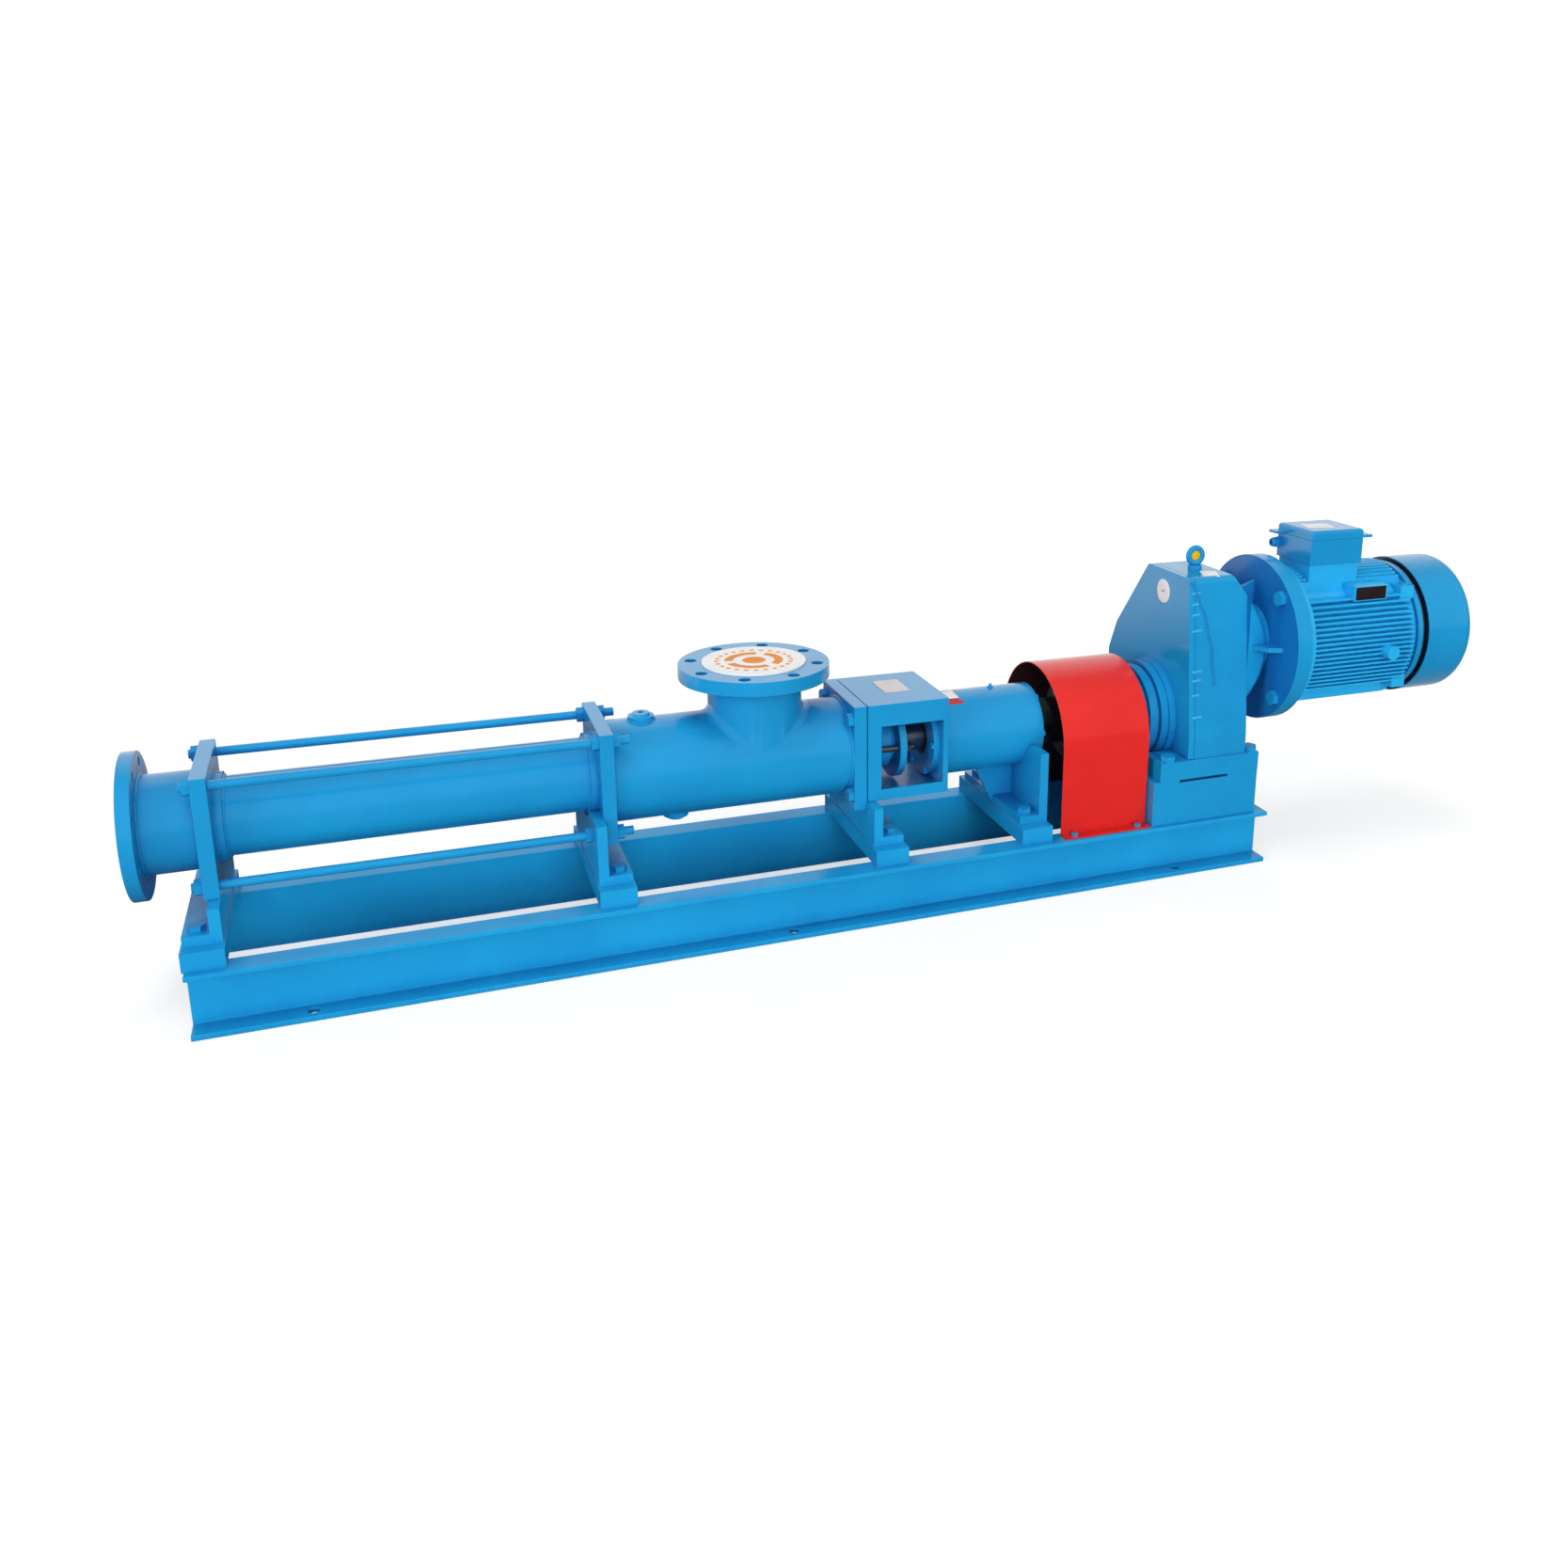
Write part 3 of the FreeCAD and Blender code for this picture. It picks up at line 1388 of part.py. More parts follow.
def bracket_bolts():
    """Bolts of the bracket and screws of the bearing covers."""
    reach = sizes.plate_thickness + sizes.bracket_front_wall - 2 * sizes.bolt_tip_gap
    bolt = hex_bolt(sizes.bracket_bolt_radius, reach)
    pieces = [
        copy_at(bolt, (chamber_end, y, sizes.axis_height + z), "-X")
        for y, z in bracket_corners
    ]
    count = int(float(sizes.cover_screw_count))
    front_screw = hex_bolt(
        sizes.cover_screw_radius,
        sizes.cover_thickness + sizes.bracket_rear_wall - sizes.bolt_tip_gap,
    )
    rear_screw = hex_bolt(
        sizes.cover_screw_radius, sizes.cover_thickness + sizes.cover_screw_depth)
    front_face = bracket_end - sizes.bracket_rear_wall - sizes.cover_thickness
    rear_face = housing_end + sizes.cover_thickness
    for y, z in screw_places(cover_screw_circle, count, 0):
        height = sizes.axis_height + z
        pieces.append(copy_at(front_screw, (front_face, y, height), "-X"))
        pieces.append(copy_at(rear_screw, (rear_face, y, height), "+X"))
    group("bracket_bolts", pieces)


def bearing_housing():
    """Bearing tube with its welded leg, foot and rib."""
    body = new_body("bearing_housing", (bracket_end, 0, sizes.axis_height))
    length = sizes.housing_length
    foot_start = angle_starts["housing"] - bracket_end
    foot_end = foot_start + sizes.foot_length
    foot_bottom = bearer_top - sizes.axis_height
    half = foot_half
    thickness = sizes.foot_thickness
    add_disc(body, "YZ", (0, 0), sizes.housing_radius, 0, length)
    foot = rectangle(foot_start, foot_end, -half, half)
    add_block(body, "XY", foot, foot_bottom, thickness)
    upright = rectangle(foot_end - thickness, foot_end, -half, half)
    add_block(body, "XY", upright, foot_bottom, -foot_bottom - sizes.housing_leg_overlap)
    rib_top = sizes.housing_rib_overlap - sizes.housing_radius
    rib = [
        (foot_end - thickness, foot_bottom),
        (foot_start, foot_bottom),
        (foot_start - sizes.housing_rib_reach, rib_top),
        (foot_end - thickness, rib_top),
    ]
    add_block(body, "XZ", rib, -sizes.housing_leg_thickness / 2, sizes.housing_leg_thickness)
    cut_discs(body, "YZ", [(0, 0)], sizes.pump_bearing_radius, 0, length)
    holes = [(foot_stations["housing"] - bracket_end, side) for side in foot_bolt_sides]
    cut_discs(body, "XY", holes, sizes.foot_bolt_radius + sizes.seat_clearance, foot_bottom, thickness)
    screw_depth = sizes.cover_screw_depth + sizes.bolt_tip_gap
    cut_hole_circle(
        body, "YZ", (0, 0), cover_screw_circle, sizes.cover_screw_radius + sizes.seat_clearance,
        sizes.cover_screw_count, 0, length - screw_depth, screw_depth,
    )


def bearing_cover(name, station, radius, disc_first, spigot_length):
    """A bearing cover: a disc, a spigot in the bore and a seal recess on the outside."""
    body = loose_body(name, (station, 0, sizes.axis_height))
    disc = sizes.cover_thickness
    total = disc + spigot_length
    spigot_radius = sizes.pump_bearing_radius - sizes.seat_clearance
    hole = sizes.shaft_radius + 2 * sizes.running_clearance
    if disc_first:
        profile = steps(0, (disc, radius), (total, spigot_radius), inner=hole)
        disc_start, spigot_start, seal_start = 0, disc, 0
    else:
        profile = steps(0, (spigot_length, spigot_radius), (total, radius), inner=hole)
        disc_start, spigot_start, seal_start = spigot_length, 0, total - sizes.seal_width
    turn(body, profile)
    ring_bore = sizes.pump_bearing_radius - sizes.cover_spigot_ring
    cut_discs(body, "YZ", [(0, 0)], ring_bore, spigot_start, spigot_length)
    cut_discs(body, "YZ", [(0, 0)], seal_radius, seal_start, sizes.seal_width)
    cut_hole_circle(
        body, "YZ", (0, 0), cover_screw_circle, sizes.cover_screw_radius + sizes.seat_clearance,
        sizes.cover_screw_count, 0, disc_start, disc,
    )
    return body


def bearing_covers():
    """Covers at both ends of the bearing housing."""
    wall = sizes.bracket_rear_wall
    front_place = bracket_end - wall - sizes.cover_thickness
    front = bearing_cover("front_cover", front_place, sizes.cover_radius_front, True, wall)
    lip = sizes.cover_spigot_wall
    rear = bearing_cover("rear_cover", housing_end - lip, sizes.housing_radius, False, lip)
    group("bearing_covers", [front, rear])


def shaft_seals():
    """Lip seals where the shafts leave the bearing covers and the gear unit."""
    template = ring(
        seal_radius - sizes.seat_clearance,
        sizes.shaft_radius + sizes.running_clearance,
        sizes.seal_width,
    )
    front_place = bracket_end - sizes.bracket_rear_wall - sizes.cover_thickness
    rear_place = housing_end + sizes.cover_thickness - sizes.seal_width
    places = [front_place, rear_place, boss_start]
    group("shaft_seals", [copy_at(template, (place_x, 0, sizes.axis_height), "+X") for place_x in places])


# Rolling bearings

def bearing_pieces(bore, outer, width, count):
    """Outer race, inner race and balls of a bearing standing on the XY plane."""
    middle = (bore + outer) / 2
    ball = (outer - bore) * 0.3
    still_groove = torus(middle, ball + sizes.seat_clearance, (0, 0, width / 2))
    turning_groove = torus(middle, ball + sizes.running_clearance, (0, 0, width / 2))
    outer_ring = ring(outer - sizes.seat_clearance, middle + ball * 0.55, width)
    inner_ring = ring(middle - ball * 0.55, bore + sizes.seat_clearance, width)
    outer_race = cut(outer_ring, still_groove)
    inner_race = cut(inner_ring, turning_groove)
    balls = []
    for y, z in screw_places(middle, count, 0):
        sphere = doc.addObject("Part::Sphere", "ball")
        sphere.Radius = as_size(ball).value
        bind(sphere, "Radius", ball)
        place(sphere, (y, z, width / 2))
        balls.append(sphere)
    ball_ring = doc.addObject("Part::Compound", "balls")
    ball_ring.Links = balls
    return outer_race, inner_race, ball_ring


def fit_bearing(pieces, station, axis, outer_list, inner_list):
    """Place the outer parts of a bearing in one list and its inner race in another."""
    outer_race, inner_race, ball_ring = pieces
    spot = (station, axis[0], axis[1])
    outer_list.append(copy_at(outer_race, spot, "+X"))
    outer_list.append(copy_at(ball_ring, spot, "+X"))
    inner_list.append(copy_at(inner_race, spot, "+X"))


def all_bearings():
    """Bearings of the pump shaft, of the gear unit and of the motor."""
    pump_outer, gear_outer, motor_outer = [], [], []
    slow_inner, fast_inner = [], []
    motor_axis = (-sizes.motor_offset, motor_height)
    pump = bearing_pieces(
        sizes.shaft_radius, sizes.pump_bearing_radius, sizes.pump_bearing_width,
        int(float(sizes.pump_ball_count)))
    for station in pump_bearing_places:
        fit_bearing(pump, station, pump_axis, pump_outer, slow_inner)
    output = bearing_pieces(
        sizes.shaft_radius, sizes.output_bearing_radius, sizes.output_bearing_width, 10)
    for station in output_bearing_places:
        fit_bearing(output, station, pump_axis, gear_outer, slow_inner)
    front = bearing_pieces(
        sizes.pinion_front_bore, sizes.pinion_front_bearing_radius,
        sizes.pinion_front_bearing_width, 9)
    fit_bearing(front, pinion_front_place, motor_axis, gear_outer, fast_inner)
    rear = bearing_pieces(
        sizes.pinion_rear_bore, sizes.pinion_rear_bearing_radius,
        sizes.pinion_rear_bearing_width, 10)
    fit_bearing(rear, pinion_rear_place, motor_axis, gear_outer, fast_inner)
    motor = bearing_pieces(
        sizes.motor_bearing_bore, sizes.motor_bearing_radius, sizes.motor_bearing_width, 8)
    for station in motor_bearing_places:
        fit_bearing(motor, station, motor_axis, motor_outer, fast_inner)
    group("pump_bearings", pump_outer)
    group("gearbox_bearings", gear_outer)
    group("motor_bearings", motor_outer)
    group("drive_inner_races", slow_inner)
    group("motor_inner_races", fast_inner)


# Coupling and guard

def coupling_half(label, start, flange_start, hub_start, hole_radius):
    """A coupling half: a flange and a hub bored for the shaft."""
    body = new_body(label, (start, 0, sizes.axis_height))
    flange = sizes.coupling_flange_thickness
    hub = sizes.coupling_hub_length
    if flange_start == 0:
        outer = steps(0, (flange, sizes.coupling_flange_radius), (flange + hub, sizes.coupling_hub_radius))
    else:
        outer = steps(0, (hub, sizes.coupling_hub_radius), (hub + flange, sizes.coupling_flange_radius))
    turn(body, outer)
    bore = sizes.coupling_bore_radius + sizes.seat_clearance
    cut_discs(body, "YZ", [(0, 0)], bore, 0, flange + hub)
    cut_hole_circle(
        body, "YZ", (0, 0), sizes.coupling_pin_circle, hole_radius,
        sizes.coupling_pin_count, 0, flange_start, flange,
    )


def coupling():
    """Both coupling halves with their pins and rubber bushes."""
    hub = sizes.coupling_hub_length
    flange = sizes.coupling_flange_thickness
    half_gap = sizes.coupling_gap / 2
    pump_start = coupling_middle - half_gap - flange - hub
    gear_flange = coupling_middle + half_gap
    bush_radius = sizes.coupling_pin_radius + sizes.coupling_bush_wall
    clear = sizes.seat_clearance
    coupling_half("coupling_half_pump", pump_start, hub, 0, sizes.coupling_pin_radius + clear)
    coupling_half("coupling_half_gearbox", gear_flange, 0, flange, bush_radius + clear)
    reach = flange * 2 + sizes.coupling_gap + sizes.coupling_pin_end
    head_radius = sizes.coupling_pin_radius + sizes.coupling_pin_head_rise
    pin = fuse(
        cylinder(head_radius, sizes.coupling_pin_head_length),
        cylinder(sizes.coupling_pin_radius, reach, (0, 0, -reach)),
    )
    bush = ring(bush_radius, sizes.coupling_pin_radius + clear, flange)
    places = screw_places(sizes.coupling_pin_circle, int(float(sizes.coupling_pin_count)), 0)
    head_face = pump_start + hub
    pins = [copy_at(pin, (head_face, y, sizes.axis_height + z), "-X") for y, z in places]
    bushes = [copy_at(bush, (gear_flange, y, sizes.axis_height + z), "+X") for y, z in places]
    group("coupling_pins", pins)
    group("coupling_bushes", bushes)


def coupling_guard():
    """Arched sheet guard over the coupling, its lips bolted to the rails."""
    body = new_body("coupling_guard", (guard_start, 0, sizes.rail_depth))
    outer = guard_radius
    inner = outer - sizes.guard_thickness
    rise = guard_rise
    length = sizes.guard_length
    lip = outer + sizes.guard_lip
    add_disc(body, "YZ", (0, rise), outer, 0, length)
    cut_block(body, "YZ", rectangle(-outer, outer, rise - outer, rise), 0, length)
    add_block(body, "YZ", rectangle(-outer, outer, 0, rise), 0, length)
    add_block(body, "YZ", rectangle(-lip, lip, 0, sizes.guard_thickness), 0, length)
    cut_discs(body, "YZ", [(0, rise)], inner, 0, length)
    cut_block(body, "YZ", rectangle(-inner, inner, 0, rise), 0, length)
    holes = [(station - guard_start, side) for station in guard_bolt_stations for side in guard_bolt_sides]
    cut_discs(body, "XY", holes, sizes.cover_screw_radius + sizes.seat_clearance, 0, sizes.guard_thickness)


# Gear unit

def casing_outline(inset, lowered=0):
    """Outline of the gear casing above its foot, drawn inwards by a wall and from the top."""
    crown = sizes.gear_crown - inset - lowered
    rear = sizes.gear_rear_bulge - inset
    front = -sizes.gear_top_front - sizes.gear_front_spread + inset
    return [
        (-sizes.gear_top_front + inset, crown),
        (sizes.gear_top_rear - inset / 2, crown),
        (rear - sizes.gear_slope_setback, (sizes.gear_crown - inset) / 2),
        (rear, sizes.gear_belt_height),
        (rear, casing_foot_top),
        (front, casing_foot_top),
        (front, -sizes.gear_shelf_depth),
    ]


def gearbox_front_cover():
    """Front wall of the gear unit with the seat of the pinion's front bearing."""
    body = new_body("gearbox_front_cover", (casing_start, 0, sizes.axis_height))
    wall = sizes.gear_front_wall
    pinion_axis = (-sizes.motor_offset, motor_rise)
    add_block(body, "YZ", casing_outline(0), 0, wall)
    seat = sizes.pinion_front_bearing_width
    seat_radius = sizes.pinion_front_bearing_radius + sizes.bearing_seat_wall
    add_disc(body, "YZ", pinion_axis, seat_radius, wall, seat)
    cut_discs(body, "YZ", [pinion_axis], sizes.pinion_front_bearing_radius, wall, seat)
    cut_discs(body, "YZ", [(0, 0)], output_spigot + sizes.seat_clearance, 0, wall)
    round_edges(body, sizes.gear_edge_round, outer_corner)


def outer_corner(edge):
    """True for a long corner of the gear casing above its foot, top and slopes only."""
    if not runs_along_x(edge):
        return False
    return edge.CenterOfMass.z > float(casing_foot_top) + 5


def gearbox_housing():
    """Gear casing with foot, sump and the seats of the rear bearings."""
    start = casing_start + sizes.gear_front_wall
    body = new_body("gearbox_housing", (start, 0, sizes.axis_height))
    depth = sizes.gear_depth - sizes.gear_front_wall
    wall = sizes.gear_wall
    room = depth - wall
    foot_bottom = -sizes.gear_axis_rise
    add_block(body, "YZ", casing_outline(0), 0, depth)
    round_edges(body, sizes.gear_edge_round, outer_corner)
    foot = rectangle(gear_foot_start - start, gear_foot_end - start, -pedestal_half, pedestal_half)
    add_block(body, "XY", foot, foot_bottom, sizes.gear_foot_thickness)
    nose_room = sizes.boss_radius + sizes.nose_clearance
    cut_discs(body, "YZ", [(0, 0)], nose_room, gear_foot_start - start, sizes.gear_foot_reach)
    hollow_casing(body, depth, room, foot_bottom)
    bearing_seats(body, depth)
    holes = [(station - start, side) for station, side in gear_foot_bolts]
    hole = sizes.gear_bolt_radius + sizes.seat_clearance
    cut_discs(body, "XY", holes, hole, foot_bottom, sizes.gear_foot_thickness)


def hollow_casing(body, depth, room, foot_bottom):
    """Sump under the foot, inner space of the casing and the shoulder on its rear top."""
    wall = sizes.gear_wall
    belly = pedestal_half - sizes.pedestal_wall - sizes.gear_belly_gap
    belly_bottom = foot_bottom - sizes.gear_belly_depth
    add_block(body, "YZ", rectangle(-belly, belly, belly_bottom, foot_bottom), -wall, depth + wall)
    shoulder = sizes.gear_shoulder_length
    drop = sizes.gear_shoulder_drop
    wheel_tip = sizes.gear_module * (sizes.wheel_teeth / 2 + 1)
    cut_discs(body, "YZ", [(0, 0)], wheel_tip + sizes.gear_wheel_room, 0, room)
    cut_block(body, "YZ", casing_outline(wall), 0, room - shoulder)
    cut_block(body, "YZ", casing_outline(wall, drop), room - shoulder, shoulder)
    sump_room = rectangle(-belly + wall, belly - wall, belly_bottom + wall, casing_foot_top)
    cut_block(body, "YZ", sump_room, 0, room)
    crown = sizes.gear_crown
    slope = [(depth - shoulder, crown), (depth, crown), (depth, crown - drop)]
    cut_block(body, "XZ", slope, -sizes.gear_rear_bulge, sizes.gear_rear_bulge * 2)


def bearing_seats(body, depth):
    """Seats of the pinion's and the output shaft's rear bearings."""
    wall = sizes.gear_wall
    pinion_axis = (-sizes.motor_offset, motor_rise)
    pinion_seat = sizes.pinion_rear_bearing_radius
    seat_width = sizes.pinion_rear_bearing_width
    seat_radius = pinion_seat + sizes.bearing_seat_wall
    add_disc(body, "YZ", pinion_axis, seat_radius, depth - seat_width, seat_width - wall)
    cut_discs(body, "YZ", [pinion_axis], pinion_seat, depth - seat_width, seat_width)
    output_seat = sizes.output_bearing_radius
    seat_start = output_bearing_places[1] - casing_start - sizes.gear_front_wall
    outer = output_seat + sizes.bearing_seat_wall
    add_disc(body, "YZ", (0, 0), outer, seat_start, depth - wall - seat_start)
    cut_discs(body, "YZ", [(0, 0)], output_seat, seat_start, sizes.output_bearing_width)


def gearbox_output_cover():
    """Stepped nose of the gear unit around the output shaft."""
    body = new_body("gearbox_output_cover", (boss_start, 0, sizes.axis_height))
    nose = sizes.boss_length
    wall = sizes.gear_front_wall
    collar = sizes.boss_radius - sizes.nose_collar_setback
    middle_ring = sizes.boss_radius - sizes.nose_ring_setback
    collar_end = sizes.nose_tip_length + sizes.nose_collar_length
    ring_start = collar_end + sizes.nose_groove_width
    ring_end = ring_start + sizes.nose_ring_length
    shoulder_start = ring_end + sizes.nose_groove_width
    turn(body, steps(
        0,
        (sizes.nose_tip_length, sizes.boss_radius - sizes.nose_tip_setback),
        (collar_end, collar),
        (ring_start, collar - sizes.nose_groove_depth),
        (ring_end, middle_ring),
        (shoulder_start, middle_ring - sizes.nose_groove_depth),
        (shoulder_start + sizes.nose_shoulder_length, sizes.boss_radius - sizes.nose_shoulder_setback),
        (nose, sizes.boss_radius),
        (nose + wall, output_spigot),
        inner=sizes.shaft_radius + 2 * sizes.running_clearance,
    ))
    seat = output_bearing_places[0] - boss_start
    cut_discs(body, "YZ", [(0, 0)], sizes.output_bearing_radius, seat, nose + wall - seat)
    cut_discs(body, "YZ", [(0, 0)], seal_radius, 0, sizes.seal_width)


def eyebolt():
    """Lifting eyebolt on top of the gear unit."""
    ring_radius = sizes.eyebolt_ring_radius
    wire = sizes.eyebolt_wire_radius
    crown = sizes.axis_height + sizes.gear_crown
    place_x = casing_start + sizes.eyebolt_from_casing_start
    place_y = sizes.gear_top_rear - sizes.eyebolt_from_top_rear
    middle = crown + sizes.eyebolt_neck + ring_radius + wire / 2
    eye = torus(ring_radius, wire, (place_x, place_y, middle), AXIS_TURNS["+Y"])
    collar = cylinder(sizes.eyebolt_collar_radius, sizes.eyebolt_neck, (place_x, place_y, crown))
    sub_part(fuse(eye, collar), "eyebolt")


def output_shaft():
    """Slow shaft of the gear unit, from the coupling to the rear bearing."""
    start = coupling_middle + sizes.coupling_gap
    body = new_body("output_shaft", (start, 0, sizes.axis_height))
    seat = sizes.shaft_radius
    rear_bearing = output_bearing_places[1] - start
    turn(body, steps(
        0,
        (boss_start - sizes.output_seat_lead - start, sizes.coupling_bore_radius),
        (gear_start - start, seat),
        (gear_start + sizes.gear_width - start, seat + sizes.wheel_seat_step),
        (rear_bearing - sizes.output_shoulder_gap, seat + sizes.wheel_shoulder_step),
        (rear_bearing + sizes.output_bearing_width - sizes.output_end_setback, seat),
    ))


def gear_outline(teeth, first_tooth):
    """Wire of a spur gear in the YZ plane with one tooth centred on an angle in radians."""
    module = float(sizes.gear_module)
    pressure = math.radians(float(sizes.pressure_angle))
    pitch_radius = module * teeth / 2
    base_radius = pitch_radius * math.cos(pressure)
    tip_radius = pitch_radius + module
    root_radius = gear_root_radius(teeth)
    half_tooth = math.pi / (2 * teeth) - float(sizes.gear_backlash) / (2 * pitch_radius)
    roll = math.tan(pressure) - pressure
    flank_start = max(base_radius, root_radius)
    height = tip_radius - flank_start
    levels = [flank_start + height * step / FLANK_STEPS for step in range(FLANK_STEPS + 1)]
    edges = []
    pitch_angle = 2 * math.pi / teeth
    root_points = []
    for number in range(teeth):
        centre = first_tooth + number * pitch_angle
        start_angle = half_tooth + roll
        left = [mirrored_point(base_radius, level, centre, -start_angle) for level in levels]
        right = [involute_reversed(base_radius, level, centre, start_angle) for level in levels]
        for flank in (left, right):
            curve = Part.BSplineCurve()
            curve.interpolate(flank)
            edges.append(curve.toShape())
        tip = Vector(0, tip_radius * math.cos(centre), tip_radius * math.sin(centre))
        edges.append(Part.Arc(left[-1], tip, right[-1]).toShape())
        low_left = radial_point(left[0], root_radius)
        low_right = radial_point(right[0], root_radius)
        if flank_start > root_radius:
            edges.append(Part.LineSegment(low_left, left[0]).toShape())
            edges.append(Part.LineSegment(right[0], low_right).toShape())
        root_points.append((low_left, low_right, centre + pitch_angle / 2))
    for number, (_, leaving, gap_angle) in enumerate(root_points):
        arriving = root_points[(number + 1) % teeth][0]
        bottom = Vector(0, root_radius * math.cos(gap_angle), root_radius * math.sin(gap_angle))
        edges.append(Part.Arc(leaving, bottom, arriving).toShape())
    return Part.Wire(Part.__sortEdges__(edges))


def gear_root_radius(teeth):
    """Radius at the bottom of the gaps between the teeth."""
    return float(sizes.gear_module) * (teeth / 2 - float(sizes.root_depth_factor))


def mirrored_point(base_radius, radius, centre, start_angle):
    """Flank point on the side of smaller angles."""
    roll = math.sqrt(max((radius / base_radius) ** 2 - 1, 0))
    angle = centre + start_angle + (roll - math.atan(roll))
    return Vector(0, radius * math.cos(angle), radius * math.sin(angle))


def involute_reversed(base_radius, radius, centre, start_angle):
    """Flank point on the side of larger angles."""
    roll = math.sqrt(max((radius / base_radius) ** 2 - 1, 0))
    angle = centre + start_angle - (roll - math.atan(roll))
    return Vector(0, radius * math.cos(angle), radius * math.sin(angle))


def radial_point(point, radius):
    """The point moved along its radius."""
    return point * (radius / point.Length)


def gear_wheel():
    """Wheel of the single gear stage."""
    width = float(sizes.gear_width)
    line = math.atan2(float(motor_rise), -float(sizes.motor_offset))
    teeth = int(float(sizes.wheel_teeth))
    wheel = Part.Face(gear_outline(teeth, line)).extrude(Vector(width, 0, 0))
    rim = gear_root_radius(teeth) - float(sizes.wheel_rim_wall)
    bore = float(sizes.shaft_radius + sizes.wheel_seat_step + sizes.seat_clearance)
    hub = bore + float(sizes.wheel_hub_wall)
    x_axis = Vector(1, 0, 0)
    recess = float(sizes.wheel_web_recess)
    for start in (0, width - recess):
        outer = Part.makeCylinder(rim, recess, Vector(start, 0, 0), x_axis)
        inner = Part.makeCylinder(hub, recess, Vector(start, 0, 0), x_axis)
        wheel = wheel.cut(outer.cut(inner))
    wheel = wheel.cut(Part.makeCylinder(bore, width, Vector(0, 0, 0), x_axis))
    piece = doc.addObject("Part::Feature", "gear_wheel")
    piece.Shape = wheel
    place(piece, (gear_start, 0, sizes.axis_height))
    sub_part(piece, "gear_wheel")


def pinion_shaft():
    """Fast shaft of the gear unit with its teeth and the bore for the motor shaft."""
    width = float(sizes.gear_width)
    teeth = int(float(sizes.pinion_teeth))
    line = math.atan2(float(motor_rise), -float(sizes.motor_offset))
    first_tooth = line + math.pi + math.pi / teeth
    x_axis = Vector(1, 0, 0)
    start = float(pinion_front_place + sizes.pinion_end_gap - gear_start)
    teeth_body = Part.Face(gear_outline(teeth, first_tooth)).extrude(Vector(width, 0, 0))
    front = Part.makeCylinder(
        float(sizes.pinion_front_bore), -start, Vector(start, 0, 0), x_axis)
    tail_end = float(casing_end + sizes.pinion_tail_reach - gear_start)
    tail = Part.makeCylinder(
        float(sizes.pinion_rear_bore), tail_end - width, Vector(width, 0, 0), x_axis)
    socket_start = float(motor_shaft_start - sizes.pinion_socket_gap - gear_start)
    socket = Part.makeCylinder(
        float(sizes.motor_shaft_radius + sizes.seat_clearance),
        tail_end - socket_start, Vector(socket_start, 0, 0), x_axis)
    piece = doc.addObject("Part::Feature", "pinion_shaft")
    piece.Shape = teeth_body.fuse(front).fuse(tail).cut(socket)
    place(piece, (gear_start, -sizes.motor_offset, motor_height))
    sub_part(piece, "pinion_shaft")


def motor_adapter():
    """Bell between the gear casing and the motor flange, with stiffening ribs."""
    body = new_body("motor_adapter", (casing_end, -sizes.motor_offset, motor_height))
    length = sizes.adapter_length
    disc_start = length - sizes.adapter_disc_thickness
    bulge = sizes.adapter_bulge_radius
    middle = (sizes.adapter_bulge_reach - bulge, -sizes.adapter_bulge_drop)
    front = sizes.adapter_bulge_front
    across = front + sizes.adapter_bulge_rear
    add_disc(body, "XZ", middle, bulge, -front, across)
    cut_block(body, "XZ", rectangle(-2 * bulge, 0, -2 * bulge, 2 * bulge), -front, across)
    round_edges(body, sizes.adapter_bulge_round, bulge_edge)
    neck = sizes.pinion_rear_bearing_radius + sizes.adapter_neck_wall
    add_disc(body, "YZ", (0, 0), neck, 0, disc_start)
    add_disc(body, "YZ", (0, 0), sizes.motor_flange_radius, disc_start, sizes.adapter_disc_thickness)
    rib_top = neck + sizes.adapter_rib_rise
    rib_sketch = new_sketch(body, "XZ", -sizes.adapter_rib_thickness / 2)
    draw_outline(rib_sketch, [
        (HIDDEN_OVERLAP, neck - HIDDEN_OVERLAP),
        (disc_start + HIDDEN_OVERLAP, neck - HIDDEN_OVERLAP),
        (disc_start + HIDDEN_OVERLAP, rib_top),
        (sizes.adapter_rib_start, rib_top - sizes.adapter_rib_drop),
    ])
    rib = pad(body, rib_sketch, "XZ", sizes.adapter_rib_thickness)
    pattern = body.newObject("PartDesign::PolarPattern", "ribs")
    pattern.Originals = [rib]
    pattern.Axis = (origin_feature(body, "X_Axis"), [""])
    pattern.Angle = 360
    pattern.Occurrences = 4
    body.Tip = pattern
    bore = sizes.pinion_rear_bearing_radius - sizes.adapter_bore_step
    cut_discs(body, "YZ", [(0, 0)], bore, 0, length)
    recess = sizes.motor_spigot_radius + sizes.seat_clearance
    recess_depth = sizes.motor_spigot_length + sizes.motor_spigot_gap
    cut_discs(body, "YZ", [(0, 0)], recess, length - recess_depth, recess_depth)
    cut_hole_circle(
        body, "YZ", (0, 0), sizes.motor_pitch_radius, sizes.motor_bolt_radius + sizes.seat_clearance,
        motor_bolt_count, sizes.motor_bolt_angle, disc_start, sizes.adapter_disc_thickness,
    )


def bulge_edge(edge):
    """True for the arc on the front of the adapter's bulge."""
    box = edge.BoundBox
    flat = box.YLength < 0.01 and abs(box.YMin + float(sizes.adapter_bulge_front)) < 0.01
    return flat and not isinstance(edge.Curve, Part.Line)


# Motor

